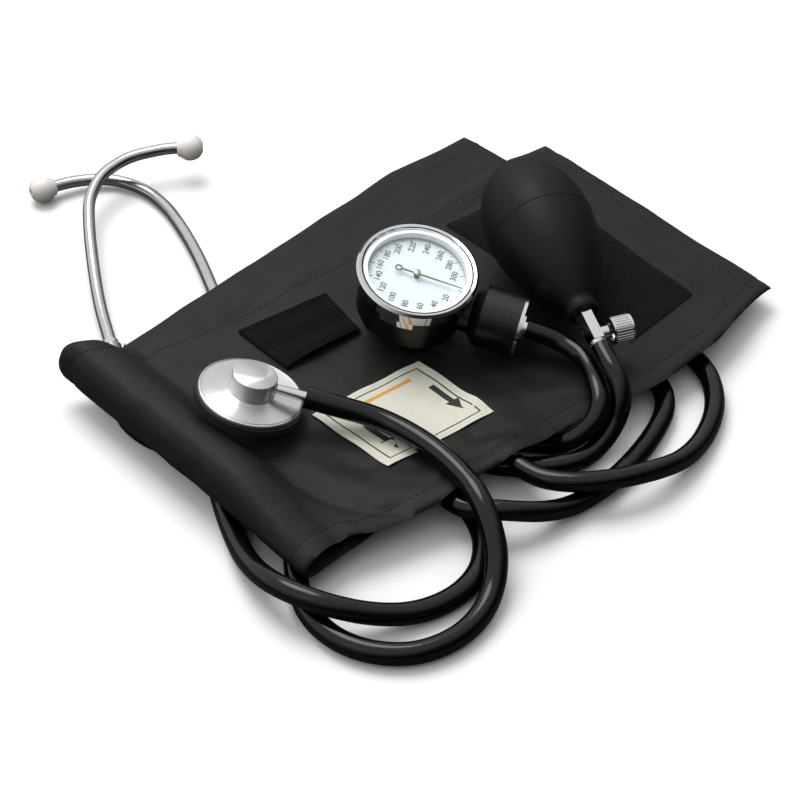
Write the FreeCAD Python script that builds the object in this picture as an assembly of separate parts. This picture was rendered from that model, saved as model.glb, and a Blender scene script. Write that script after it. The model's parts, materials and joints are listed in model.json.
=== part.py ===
import FreeCAD, Part
import math
import os

from FreeCAD import Placement, Rotation, Vector

# Aneroid sphygmomanometer kit: a folded arm cuff, a dial gauge, an inflation bulb with its
# release valve, the rubber hoses that join them, and a single-head stethoscope.
# Millimetres, +X along the cuff, +Y from its front edge to its back edge, +Z up.

# ---------------------------------------------------------------- driving dimensions
CUFF_WIDTH = 147.0              # front edge to back edge
CLOTH = 0.8                     # one layer of coated cloth
BLADDER = 2.0                   # flat bladder, both walls
HEM = 1.4                       # width of the sewn hem
TUBE = 9.5                      # outside diameter of the stethoscope tubing
TUBE_BORE = 4.8
UNDER_ROOM = 0.5                # room between the tubing and the lower run that lies over it
RUN_GAP = 0.2                   # between the two runs of the cuff
ROLL_LEFT = -7.0                # outermost reach of the rolled fold
ROLL_TOP = 31.0                 # height of the rolled fold
VALLEY = 21.0                   # where the roll meets the flat upper run
STEP_START = 114.0              # where the upper run starts to step down
STEP_LENGTH = 14.0
UPPER_END = 268.0               # free end of the upper run
UPPER_TIP = 9.0                 # height of that free end
LOWER_END = 262.0               # free end of the lower run
REST_STRIP = 16.0               # length of the lower run that lies flat on the table
ROLL_LEAN = 2.0                 # how far the roll's outer wall leans in at its top
LOWER_TURN = 5.4                # degrees by which the lower run has slipped round
LOWER_SHIFT = 16.0              # how far back its front corner lies
POCKET_END = 172.0              # the bladder pocket stops here on the upper run
POCKET_RAMP = 10.0              # length over which the two cloths meet
UNDER_LIFT = TUBE + UNDER_ROOM                  # underside of the lower run
POCKET = 2 * CLOTH + BLADDER                    # thickness over the bladder
UPPER_HIGH = UNDER_LIFT + 2 * POCKET + RUN_GAP  # face of the upper run beside the roll
UPPER_LOW = UPPER_HIGH - BLADDER                # face of the upper run over the single lower run
STEP_END = STEP_START + STEP_LENGTH

PANEL = 1.5                     # hook and loop panels
STRAP = 1.2                     # webbing strap
LABEL = 0.4                     # woven label

HOSE = 8.8                      # outside diameter of the pressure hoses
HOSE_BORE = 4.6
ARM_TUBE = 7.8                  # outside diameter of the two arms of the stethoscope tubing
ARM_GAP = 0.9                   # room for each ear tube to turn where its arm meets it

CASE_RADIUS = 24.4
BEZEL_STEP = 2.1                # the bezel stands out this far round the case
BEZEL_DEPTH = 6.4
GASKET_WALL = 0.8               # of the ring between the lens and the dial
CASE_WALL = 1.8
CASE_DEPTH = 34.0
NECK_RADIUS = 13.5
NECK_COLLAR = 6.6               # from the case's side to the start of the round neck
NECK_LENGTH = 17.0
NECK_FOOT = 4.0                 # lowest side of the neck above the underside of the case
LEDGE = 4.6                     # ledge in the case that carries the movement
MOVEMENT_RISE = 8.0             # underside of the movement above the underside of the case
RUN_FIT = 0.05                  # radial clearance of every running fit
GEAR_MODULE = 0.25
PINION_TEETH = 12
SECTOR_TEETH = 96               # teeth of a full circle
BEZEL_RADIUS = CASE_RADIUS + BEZEL_STEP
NECK_START = CASE_RADIUS + NECK_COLLAR          # from the dial axis to the round neck
NECK_END = NECK_START + NECK_LENGTH             # from the dial axis to the end of the neck
NECK_RISE = NECK_RADIUS + NECK_FOOT             # neck axis above the underside of the case
SCALE_START = -2.0              # direction of the zero mark from the neck
SCALE_SPAN = 336.0              # from 0 to 300 mmHg

BULB_LENGTH = 90.0
BULB_RADIUS = 24.0
BULB_WALL = 2.6
BULB_NECK = 7.0
VALVE_FLATS = 8.0               # across flats of the valve body
VALVE_LENGTH = 19.0
VALVE_BARB = 6.0                # length of the valve's barb inside its hose
KNOB_AT = 12.5                  # knob axis from the bulb's end
KNOB_RADIUS = 6.0
KNOB_LENGTH = 9.0
KNOB_BORE = 1.25
CHECK_LIFT = 0.6                # travel of each check valve disc

CHEST_RADIUS = 23.6
CHEST_HUB = 9.75
CHEST_HUB_TOP = 9.6
STEM_HEIGHT = 5.3               # stem axis above the chest piece's face
STEM_REACH = 34.0

EAR_TUBE = 5.6
EAR_TUBE_WALL = 0.8
FERRULE = 7.0
EAR_TIP = 12.6

# ---------------------------------------------------------------- small helpers
X_AXIS = Vector(1, 0, 0)
Y_AXIS = Vector(0, 1, 0)
Z_AXIS = Vector(0, 0, 1)
nodes = {}


def keep(name, *shapes):
    """Name one node; all nodes are written together at the end."""
    nodes[name] = shapes[0] if len(shapes) == 1 else Part.makeCompound(list(shapes))


def rod(radius, start, end, direction=Z_AXIS, at=Vector(0, 0, 0)):
    """A cylinder between two distances along a direction through a point."""
    return Part.makeCylinder(radius, end - start, at + direction * start, direction)


def pipe(radius, bore, start, end, direction=Z_AXIS, at=Vector(0, 0, 0)):
    """A hollow cylinder."""
    return rod(radius, start, end, direction, at).cut(rod(bore, start, end, direction, at))


def turned(outline, axis=X_AXIS):
    """Spin a closed outline of (along, radius) points about the local X or Z axis."""
    if axis == X_AXIS:
        points = [Vector(along, radius, 0) for along, radius in outline]
    else:
        points = [Vector(radius, 0, along) for along, radius in outline]
    face = Part.Face(Part.makePolygon(points + points[:1]))
    return face.revolve(Vector(0, 0, 0), axis, 360)


def hexagon(flats, start, end):
    """A hexagonal bar along X."""
    corner = flats / math.sqrt(3)
    points = []
    for step in range(7):
        angle = math.radians(60 * step)
        points.append(Vector(start, corner * math.cos(angle), corner * math.sin(angle)))
    return Part.Face(Part.makePolygon(points)).extrude(Vector(end - start, 0, 0))


def slab(corners, low, high):
    """A prism over plan corners between two heights."""
    points = [Vector(x, y, low) for x, y in corners]
    return Part.Face(Part.makePolygon(points + points[:1])).extrude(Vector(0, 0, high - low))


def place(shape, placement):
    moved = shape.copy()
    moved.Placement = placement.multiply(moved.Placement)
    return moved


def rounded_path(points, radii):
    """Edges of straight runs joined by tangent arcs; a radius of 0 leaves a plain corner."""
    edges = []
    last = points[0]
    for before, corner, after, radius in zip(points, points[1:], points[2:], radii[1:]):
        back = (before - corner).normalize()
        ahead = (after - corner).normalize()
        half = back.getAngle(ahead) / 2
        if radius <= 0 or half > math.pi / 2 - 1e-4:
            edges.append(Part.LineSegment(last, corner).toShape())
            last = corner
            continue
        reach = radius / math.tan(half)
        start = corner + back * reach
        end = corner + ahead * reach
        middle = (back + ahead).normalize()
        middle = corner + middle * (radius / math.sin(half) - radius)
        edges.append(Part.LineSegment(last, start).toShape())
        edges.append(Part.Arc(start, middle, end).toShape())
        last = end
    edges.append(Part.LineSegment(last, points[-1]).toShape())
    return edges


# ---------------------------------------------------------------- cuff
def cuff_run(single, pocket, first=0, last=None):
    """Section of a surface that lies inside the cuff's outer face.

    single is its depth where only two cloths lie together, pocket its depth over the bladder.
    """
    run = [
        (LOWER_END, 0.0, 0, single),
        (LOWER_END - REST_STRIP, 0.0, 20, single),
        (LOWER_END - REST_STRIP - 34.0, UNDER_LIFT, 20, single),
        (60.0, UNDER_LIFT, 0, single),
        (60.0 - POCKET_RAMP, UNDER_LIFT, 0, pocket),
        (25.0, UNDER_LIFT, 0, pocket),
        (ROLL_LEFT, UNDER_LIFT, 8, pocket),
        (ROLL_LEFT + ROLL_LEAN / 2, (UNDER_LIFT + ROLL_TOP) / 2, 0, pocket),
        (ROLL_LEFT + ROLL_LEAN, ROLL_TOP, 9, pocket),
        (VALLEY - 10.0, ROLL_TOP, 9, pocket),
        (VALLEY, UPPER_HIGH, 8, pocket),
        (STEP_START, UPPER_HIGH, 25, pocket),
        (STEP_END, UPPER_LOW, 25, pocket),
        (POCKET_END, UPPER_LOW, 0, pocket),
        (POCKET_END + POCKET_RAMP, UPPER_LOW, 0, single),
        (240.0, UPPER_LOW, 30, single),
        (UPPER_END, UPPER_TIP, 0, single),
    ]
    points = [Vector(x, 0, z) for x, z, _, _ in run]
    shifted = []
    radii = []
    for index, (_, _, radius, depth) in enumerate(run):
        before = points[max(index - 1, 0)]
        here = points[index]
        after = points[min(index + 1, len(points) - 1)]
        way_in = (here - before) if index else (after - here)
        way_out = (after - here) if index < len(points) - 1 else way_in
        way_in = Vector(way_in).normalize()
        way_out = Vector(way_out).normalize()
        inward_in = Vector(way_in.z, 0, -way_in.x)
        inward_out = Vector(way_out.z, 0, -way_out.x)
        mitre = (inward_in + inward_out).normalize()
        shifted.append(here + mitre * (depth / mitre.dot(inward_in)))
        right_turn = way_in.cross(way_out).y > 0
        radii.append(radius - depth if right_turn else radius + depth if radius else 0)
    stop = len(run) if last is None else last + 1
    return shifted[first:stop], radii[first:stop]


def cuff_band(outer, inner, first=0, last=None):
    """Band between two depths of the cuff's section, across its whole width and more."""
    outer_points, outer_radii = cuff_run(*outer, first, last)
    inner_points, inner_radii = cuff_run(*inner, first, last)
    edges = rounded_path(outer_points, outer_radii)
    edges += rounded_path(inner_points, inner_radii)
    edges.append(Part.LineSegment(outer_points[0], inner_points[0]).toShape())
    edges.append(Part.LineSegment(outer_points[-1], inner_points[-1]).toShape())
    wire = Part.Wire(Part.__sortEdges__(edges))
    band = Part.Face(wire).extrude(Vector(0, CUFF_WIDTH + 60, 0))
    band.translate(Vector(0, -30, 0))
    return band


LOWER_RUN = {"first": 0, "last": 5}             # corners of the section that each cloth uses
ROLL_AND_UPPER_RUN = {"first": 5}
BLADDER_RUN = {"first": 7, "last": 13}
UPPER_OUTLINE = [
    (-20, 0), (40, -1), (100, -6), (160, -6), (215, -11), (280, -5),
    (280, CUFF_WIDTH - 5), (82, CUFF_WIDTH - 2), (20, CUFF_WIDTH + 2), (-20, CUFF_WIDTH + 8),
]
LOWER_OUTLINE = [(-20, 0), (280, 0), (280, CUFF_WIDTH), (-20, CUFF_WIDTH)]
LOWER_PLACE = Placement(Vector(0, LOWER_SHIFT, 0), Rotation(Z_AXIS, LOWER_TURN))


def cut_to_outline(band, outline, inset=0.0):
    """Trim a band to a plan outline, drawn in by an even inset."""
    points = [Vector(x, y, -5) for x, y in outline]
    face = Part.Face(Part.makePolygon(points + points[:1]))
    if inset:
        face = face.makeOffset2D(-inset)
    return band.common(face.extrude(Vector(0, 0, 60)))


def cuff_layer(outer, inner):
    """One cloth of the cuff: the slipped lower run joined to the roll and the upper run."""
    lower = cut_to_outline(cuff_band(outer, inner, **LOWER_RUN), LOWER_OUTLINE)
    upper = cut_to_outline(cuff_band(outer, inner, **ROLL_AND_UPPER_RUN), UPPER_OUTLINE)
    return place(lower, LOWER_PLACE).fuse(upper).removeSplitter()


PORT_X = (66.0, 101.0)
PORT_Y = 17.0
PORT_EXIT = (-4.5, -7.5)        # where each hose leaves the front edge
PORT_DROP = (4.7, 4.7)
PORT_BARB = 5.0                 # length of each port's barb inside its hose


def upper_face(x):
    """Height of the upper run's face at a distance along the cuff."""
    share = (x - STEP_START) / (STEP_END - STEP_START)
    return UPPER_HIGH + (UPPER_LOW - UPPER_HIGH) * min(1.0, max(0.0, share))


def port_height(index):
    return upper_face(PORT_X[index]) - PORT_DROP[index]


def bladder_port(index):
    """Elbow under the bladder: a flange, a short stub and a barb towards the front edge."""
    x = PORT_X[index]
    height = port_height(index)
    roof = upper_face(x + 5.5) - CLOTH - BLADDER - 0.05
    flange = Part.makeCylinder(5.5, 0.6, Vector(x, PORT_Y, roof - 0.6))
    stub = Part.makeCylinder(2.6, roof - height, Vector(x, PORT_Y, height))
    barb_end = PORT_Y - PORT_EXIT[index] + PORT_BARB
    barb = rod(HOSE_BORE / 2, 0, barb_end, Vector(0, -1, 0), Vector(x, PORT_Y, height))
    knuckle = Part.makeSphere(2.6, Vector(x, PORT_Y, height))
    return flange.fuse([stub, barb, knuckle]).removeSplitter()


def make_cuff():
    c = CLOTH
    b = BLADDER
    outer = cuff_layer((0, 0), (c, c))
    hem_band = cuff_band((c, c), (2 * c, c + b), **ROLL_AND_UPPER_RUN)
    rim = cut_to_outline(hem_band, UPPER_OUTLINE).cut(cut_to_outline(hem_band, UPPER_OUTLINE, HEM))
    inner = cuff_layer((c, c + b), (2 * c, 2 * c + b))
    rim = rim.cut(inner)
    bladder = cuff_band((c, c), (c + b, c + b), **BLADDER_RUN)
    bladder = cut_to_outline(bladder, UPPER_OUTLINE, 9.0)
    ports = [bladder_port(0), bladder_port(1)]
    for x in PORT_X:
        index = PORT_X.index(x)
        path = rod(HOSE / 2 + 0.4, 0, PORT_Y + 20, Vector(0, -1, 0), Vector(x, PORT_Y, port_height(index)))
        well = Part.makeCylinder(6.2, 8, Vector(x, PORT_Y, upper_face(x) - CLOTH - BLADDER - 8))
        inner = inner.cut(path.fuse(well))
        rim = rim.cut(path)
        bladder = bladder.cut(path)
        outer = outer.cut(path)
    keep("cuff_outer_cloth", outer.fuse(rim).removeSplitter())
    keep("cuff_inner_cloth", inner)
    keep("cuff_bladder", bladder.cut(Part.makeCompound(ports)))
    keep("bladder_ports", *ports)
    return outer


def make_patches():
    """Pieces sewn on the cuff: fastening panels, the gauge strap and the label."""
    loop = slab([(185.5, 125), (239, 121), (232.6, 15), (189.4, 11)], UPPER_LOW, UPPER_LOW + PANEL)
    keep("loop_panel", loop)
    face = 2 * CLOTH
    hook = cuff_band((face, face), (face + PANEL, face + PANEL), 0, 3)
    hook_start = POCKET_END + POCKET_RAMP + 24.0
    hook_end = LOWER_END - 5.0
    hook = cut_to_outline(hook, [(hook_start, 22), (hook_end, 22), (hook_end, 98), (hook_start, 98)])
    keep("hook_panel", place(hook, LOWER_PLACE))
    strap_outline = [(65, 129), (110, 122.5), (105, 93.5), (65, 96)]
    keep("gauge_strap", slab(strap_outline, UPPER_HIGH, UPPER_HIGH + STRAP))
    label_outline = [(54, 67), (110.5, 62), (112, 17), (56.5, 22)]
    keep("artery_label", slab(label_outline, UPPER_HIGH, UPPER_HIGH + LABEL))


# ---------------------------------------------------------------- hoses and tubing
def hose_solid(name, route, diameter, bore, plug_depths):
    """A flexible tube through a list of points, bored at each end for what it fits over."""
    points = [Vector(*point) for point in route]
    radii = [0.0]
    for before, corner, after in zip(points, points[1:], points[2:]):
        back = before - corner
        ahead = after - corner
        turn = math.pi - back.getAngle(ahead)
        shorter = min(back.Length, ahead.Length)
        radii.append(0.45 * shorter / math.tan(turn / 2))
    radii.append(0.0)
    wire = Part.Wire(rounded_path(points, radii))
    first = (points[1] - points[0]).normalize()
    last = (points[-2] - points[-1]).normalize()
    ring = Part.Wire(Part.makeCircle(diameter / 2, points[0], first))
    tube = wire.makePipeShell([ring], True, False)
    length = wire.Length
    ratio = tube.Volume / (math.pi * diameter ** 2 / 4 * length)
    print(name, "length", round(length), "volume ratio", round(ratio, 4),
          "smallest radius", round(min(radii[1:-1]), 1), "valid", tube.isValid())
    print("   radii", [round(radius) for radius in radii[1:-1]])
    if plug_depths[0]:
        tube = tube.cut(rod(bore / 2, 0, plug_depths[0], first, points[0]))
    if plug_depths[1]:
        tube = tube.cut(rod(bore / 2, 0, plug_depths[1], last, points[-1]))
    keep(name, tube)
    return tube


# ---------------------------------------------------------------- gauge
GAUGE_TURN = Rotation(-56.52, 10.14, 7.73)
FOOT_INSET = 9.5                # the flat underside is this much smaller than the case
GAUGE_TIP = math.acos(GAUGE_TURN.multVec(Z_AXIS).z)
TIP_RISE = (CASE_RADIUS - FOOT_INSET) * math.sin(GAUGE_TIP)
GAUGE_FOOT = Vector(123.4433, 83.7674, UPPER_HIGH + TIP_RISE - 0.1465)
GAUGE = Placement(GAUGE_FOOT + GAUGE_TURN.multVec(Vector(0, 0, CASE_DEPTH)), GAUGE_TURN)
NECK_DEPTH = CASE_DEPTH - NECK_RISE             # neck axis below the bezel's face
MOVEMENT_LOW = -CASE_DEPTH + MOVEMENT_RISE      # underside of the lower movement plate
PINION_LEVEL = -NECK_DEPTH + 0.1
MOVEMENT_HIGH = PINION_LEVEL + 3.4              # underside of the upper movement plate
PLATE = 1.0
DIAL_LEVEL = -6.0
POINTER_LEVEL = -3.6
LENS_TOP = -0.4
LENS_LOW = -1.7
HAIRSPRING_LEVEL = MOVEMENT_LOW + 2.4
PLATE_RADIUS = CASE_RADIUS - CASE_WALL - 1.3    # of the lower movement plate
PINION_RADIUS = GEAR_MODULE * PINION_TEETH / 2
SECTOR_RADIUS = GEAR_MODULE * SECTOR_TEETH / 2
SECTOR_CENTRE = PINION_RADIUS + SECTOR_RADIUS
SECTOR_BEARING = 27.3           # direction of the sector's arbor from the pinion
SECTOR_SWEEP = 42.0             # how far the sector turns
SECTOR_AT = Vector(SECTOR_CENTRE, 0, 0)
SECTOR_AT = Rotation(Z_AXIS, SECTOR_BEARING).multVec(SECTOR_AT)
DRIVE_PIN = 2.6                 # from the arbor to the pin that the rocking shaft pushes
DRIVE_PIN_RADIUS = 0.4
SPINDLE = 0.7
ROCKER_RADIUS = 1.0
LEVER = 1.0                     # thickness of both levers of the rocking shaft
LEVER_GAP = 0.1
PIN_START = 90.0 - SECTOR_SWEEP / 2
PIN_AT = SECTOR_AT + Rotation(Z_AXIS, PIN_START).multVec(Vector(DRIVE_PIN, 0, 0))
ROCKER_X = PIN_AT.x + DRIVE_PIN_RADIUS + LEVER_GAP + LEVER / 2
ROCKER_Z = -NECK_DEPTH - 5.4
NECK_LINE = Vector(0, 0, -NECK_DEPTH)
LUG_HALF = 1.8                  # half the length of a bearing lug of the rocking shaft
LUG_Y = math.sqrt(PLATE_RADIUS ** 2 - (ROCKER_X + LUG_HALF) ** 2) - 3.36
PILLARS = [Vector(-14, -11, 0), Vector(-15, 10, 0), Vector(8, -15, 0)]
PILLAR_SPREAD = PLATE_RADIUS / 21.3


def gear(teeth, start_angle, count, low, high, centre, hub):
    """A flat gear or a toothed sector with straight-sided teeth."""
    pitch = GEAR_MODULE * teeth / 2
    step = 2 * math.pi / teeth
    tip = pitch + 0.8 * GEAR_MODULE
    root = pitch - 1.15 * GEAR_MODULE
    points = []
    for index in range(count):
        middle = start_angle + index * step
        for radius, half in ((root, 0.27), (tip, 0.13), (tip, -0.13), (root, -0.27)):
            angle = middle - half * step
            points.append(Vector(radius * math.cos(angle), radius * math.sin(angle), low))
    if count < teeth:
        points.append(Vector(0, 0, low))
    face = Part.Face(Part.makePolygon(points + points[:1]))
    body = face.extrude(Vector(0, 0, high - low))
    body = body.fuse(rod(hub, low, high)).removeSplitter()
    body.translate(centre)
    return body


def make_gauge_shell():
    case_top = -4.8
    outer = turned([
        (case_top, 0), (case_top, CASE_RADIUS), (-CASE_DEPTH + 10, CASE_RADIUS - 0.6),
        (-CASE_DEPTH + 5, CASE_RADIUS - 2.6), (-CASE_DEPTH + 1.5, CASE_RADIUS - 6.0),
        (-CASE_DEPTH, CASE_RADIUS - FOOT_INSET), (-CASE_DEPTH, 0),
    ], Z_AXIS)
    inner_radius = CASE_RADIUS - CASE_WALL
    ledge = inner_radius - LEDGE
    hollow = turned([
        (case_top, 0), (case_top, inner_radius), (MOVEMENT_LOW, inner_radius - 1.0), (MOVEMENT_LOW, ledge),
        (-CASE_DEPTH + 2, ledge - 2.0), (-CASE_DEPTH + 2, 0),
    ], Z_AXIS)
    rings = []
    under_bezel = NECK_DEPTH - BEZEL_DEPTH - 0.5
    for along, radius in ((19.0, under_bezel - 1.0), (BEZEL_RADIUS + 0.2, under_bezel),
                          (NECK_START, NECK_RADIUS + 0.9)):
        ring = Part.Circle(NECK_LINE + Vector(along, 0, 0), X_AXIS, radius)
        rings.append(Part.Wire(ring.toShape()))
    collar = Part.makeLoft(rings, True, True)
    neck = rod(NECK_RADIUS, NECK_START, NECK_END, X_AXIS, NECK_LINE)
    neck_room = rod(NECK_RADIUS - 1.6, NECK_START + 1.6, NECK_END, X_AXIS, NECK_LINE)
    rod_way = rod(3.0, 15, NECK_START + 3, X_AXIS, NECK_LINE)
    case = outer.fuse([collar, neck]).cut(hollow).cut(neck_room).cut(rod_way)
    keep("gauge_case", place(case.removeSplitter(), GAUGE))
    bezel = turned([
        (-BEZEL_DEPTH, CASE_RADIUS + 0.1), (-BEZEL_DEPTH, BEZEL_RADIUS - 0.5),
        (-1.2, BEZEL_RADIUS), (0, BEZEL_RADIUS - 1.0),
        (-0.3, BEZEL_RADIUS - 2.2), (-1.4, BEZEL_RADIUS - 2.8), (-4.7, BEZEL_RADIUS - 2.8),
        (-4.7, CASE_RADIUS + 0.1),
    ], Z_AXIS)
    keep("bezel_ring", place(bezel, GAUGE))
    tab = pipe(CASE_RADIUS + 0.9, CASE_RADIUS + 0.1, -BEZEL_DEPTH - 4.1, -BEZEL_DEPTH - 0.1)
    wedge = slab([(0, 0), (9, -40), (-16, -40)], -12, -5)
    keep("bezel_clip", place(tab.common(wedge), GAUGE))
    lens_radius = BEZEL_RADIUS - 2.9
    keep("lens", place(rod(lens_radius, LENS_LOW, LENS_TOP), GAUGE))
    skirt_radius = inner_radius - 0.3
    gasket = pipe(lens_radius, skirt_radius - GASKET_WALL, -4.7, LENS_LOW - 0.1)
    skirt = pipe(skirt_radius, skirt_radius - GASKET_WALL, DIAL_LEVEL + PLATE + 0.1, -4.7)
    keep("lens_gasket", place(gasket.fuse(skirt).removeSplitter(), GAUGE))
    plate_ring = pipe(NECK_RADIUS - 0.1, 6.5, NECK_END, NECK_END + 1.4, X_AXIS, NECK_LINE)
    lip = pipe(NECK_RADIUS - 1.7, 10.5, NECK_END - 2.5, NECK_END, X_AXIS, NECK_LINE)
    keep("neck_end_plate", place(plate_ring.fuse(lip).removeSplitter(), GAUGE))
    nipple = rod(6.4, NECK_END - 0.6, NECK_END + 2.2, X_AXIS, NECK_LINE)
    nipple = nipple.fuse(rod(3.4, NECK_END + 2.2, NECK_END + 3.4, X_AXIS, NECK_LINE))
    nipple = nipple.fuse(rod(HOSE_BORE / 2, NECK_END + 3.4, NECK_END + 12, X_AXIS, NECK_LINE))
    nipple = nipple.fuse(rod(2.4, NECK_END - 3.0, NECK_END - 0.6, X_AXIS, NECK_LINE))
    nipple = nipple.cut(rod(1.2, NECK_END - 3.0, NECK_END + 12, X_AXIS, NECK_LINE))
    keep("gauge_nipple", place(nipple.removeSplitter(), GAUGE))


def make_capsule():
    """The pressure capsule in the neck, and the push rod that its moving face carries."""
    back = NECK_END - 3.0
    seat = turned([
        (back, 0), (back, 9.5), (back - 0.8, 10.5), (back - 2.4, 10.5), (back - 2.4, 10.0),
        (back - 1.0, 9.2), (back - 1.0, 0),
    ])
    seat = seat.cut(rod(1.2, back - 2, back + 1, X_AXIS))
    seat.translate(NECK_LINE)
    keep("capsule_seat", place(seat, GAUGE))
    front = back - 6.4
    face = turned([
        (front, 0), (front, 9.2), (front + 1.4, 10.5), (front + 3.6, 10.5), (front + 3.6, 10.0),
        (front + 2.0, 9.6), (front + 0.8, 8.6), (front + 0.8, 0),
    ])
    tip = ROCKER_X + LEVER / 2 + LEVER_GAP
    stem = rod(1.6, tip + 2.0, front, X_AXIS).fuse(Part.makeCone(0.5, 1.6, 2.0, Vector(tip, 0, 0), X_AXIS))
    head = face.fuse(stem).removeSplitter()
    head.translate(NECK_LINE)
    keep("capsule_face", place(head, GAUGE))


def make_movement_frame():
    """Two plates held apart by pillars, with the bearings of every moving piece."""
    low_top = MOVEMENT_LOW + PLATE
    high_top = MOVEMENT_HIGH + PLATE
    bearings = rod(SPINDLE + RUN_FIT, -40, 0)
    bearings = bearings.fuse(rod(SPINDLE + RUN_FIT, -40, 0, Z_AXIS, SECTOR_AT))
    lower = rod(PLATE_RADIUS, MOVEMENT_LOW, low_top).cut(bearings)
    lug_height = ROCKER_Z + ROCKER_RADIUS + 1.2 - low_top
    for side in (-1, 1):
        corner = Vector(ROCKER_X - LUG_HALF, side * LUG_Y - 0.8, low_top)
        lug = Part.makeBox(2 * LUG_HALF, 1.6, lug_height, corner)
        lower = lower.fuse(lug)
    lower = lower.cut(rod(ROCKER_RADIUS + RUN_FIT, -LUG_Y - 2, LUG_Y + 2, Y_AXIS, Vector(ROCKER_X, 0, ROCKER_Z)))
    upper = rod(PLATE_RADIUS - 0.4, MOVEMENT_HIGH, high_top).cut(bearings)
    pillars = []
    screws = []
    for pillar_at in PILLARS:
        spot = pillar_at * PILLAR_SPREAD
        thread = rod(0.8, high_top - 4, high_top, Z_AXIS, spot)
        pillar = rod(1.8, low_top, MOVEMENT_HIGH, Z_AXIS, spot).cut(thread)
        upper = upper.cut(rod(0.9, -40, 0, Z_AXIS, spot))
        head = rod(1.6, high_top, high_top + 1.0, Z_AXIS, spot)
        slot = Part.makeBox(4, 0.4, 0.5, spot + Vector(-2, -0.2, high_top + 0.6))
        pillars.append(place(pillar, GAUGE))
        screws.append(place(thread.fuse(head).cut(slot).removeSplitter(), GAUGE))
    keep("movement_lower_plate", place(lower.removeSplitter(), GAUGE))
    keep("movement_upper_plate", place(upper, GAUGE))
    keep("movement_pillars", *pillars)
    keep("movement_screws", *screws)


def make_movement():
    """Pinion spindle, toothed sector, rocking shaft and hairspring."""
    half_tooth = math.pi / PINION_TEETH
    pinion_start = math.radians(SECTOR_BEARING) + half_tooth
    pinion = gear(PINION_TEETH, pinion_start, PINION_TEETH, PINION_LEVEL, PINION_LEVEL + 2.4,
                  Vector(0, 0, 0), SPINDLE)
    spindle = rod(SPINDLE, MOVEMENT_LOW + 0.2, POINTER_LEVEL - 0.2)
    collet = rod(1.5, HAIRSPRING_LEVEL, HAIRSPRING_LEVEL + 0.8)
    keep("pinion_spindle", place(spindle.fuse([pinion, collet]).removeSplitter(), GAUGE))

    step = 2 * math.pi / SECTOR_TEETH
    swept_teeth = math.ceil(SECTOR_SWEEP / 360 * SECTOR_TEETH) + 1
    first_angle = math.radians(SECTOR_BEARING + 180) - swept_teeth * step
    sector_low = PINION_LEVEL + 0.7
    sector_high = sector_low + 1.2
    sector = gear(SECTOR_TEETH, first_angle, swept_teeth + 4, sector_low, sector_high, SECTOR_AT, 2.0)
    arbor = rod(SPINDLE, MOVEMENT_LOW + 0.2, MOVEMENT_HIGH + PLATE - 0.2, Z_AXIS, SECTOR_AT)
    tail = Part.makeBox(DRIVE_PIN + 0.6, 1.2, 1.2, Vector(0, -0.6, sector_low))
    tail = place(tail, Placement(SECTOR_AT, Rotation(Z_AXIS, PIN_START)))
    pin = rod(DRIVE_PIN_RADIUS, -NECK_DEPTH - 1.4, sector_low, Z_AXIS, PIN_AT)
    keep("sector_gear", place(sector.fuse([arbor, tail, pin]).removeSplitter(), GAUGE))

    shaft = rod(ROCKER_RADIUS, -LUG_Y - 1.4, LUG_Y + 1.4, Y_AXIS, Vector(ROCKER_X, 0, ROCKER_Z))
    left = ROCKER_X - LEVER / 2
    push_lever = Part.makeBox(LEVER, 2.4, -NECK_DEPTH + 1.2 - ROCKER_Z, Vector(left, -1.2, ROCKER_Z))
    pin_lever = Part.makeBox(LEVER, 1.4, sector_low - 0.3 - ROCKER_Z, Vector(left, PIN_AT.y - 0.7, ROCKER_Z))
    keep("rocking_shaft", place(shaft.fuse([push_lever, pin_lever]).removeSplitter(), GAUGE))

    keep("hairspring", place(spiral(1.575, 0.32, 6, 0.15, 0.8, HAIRSPRING_LEVEL), GAUGE))


def spiral(start_radius, growth, half_turns, thickness, height, level):
    """Flat spiral strip of half circles, each one a little larger than the last."""
    sides = []
    for offset in (-thickness / 2, thickness / 2):
        arcs = []
        for index in range(half_turns):
            radius = start_radius + growth * index + offset
            centre = Vector(growth * (index % 2), 0, level)
            way = 1 if index % 2 == 0 else -1
            reach = Vector(radius * way, 0, 0)
            crown = Vector(0, radius * way, 0)
            arcs.append(Part.Arc(centre + reach, centre + crown, centre - reach).toShape())
        sides.append(arcs)
    inner, outer = sides
    ends = []
    for index in (0, -1):
        vertex = 0 if index == 0 else -1
        ends.append(Part.LineSegment(inner[index].Vertexes[vertex].Point,
                                     outer[index].Vertexes[vertex].Point).toShape())
    wire = Part.Wire(Part.__sortEdges__(inner + outer + ends))
    return Part.Face(wire).extrude(Vector(0, 0, height))


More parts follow.
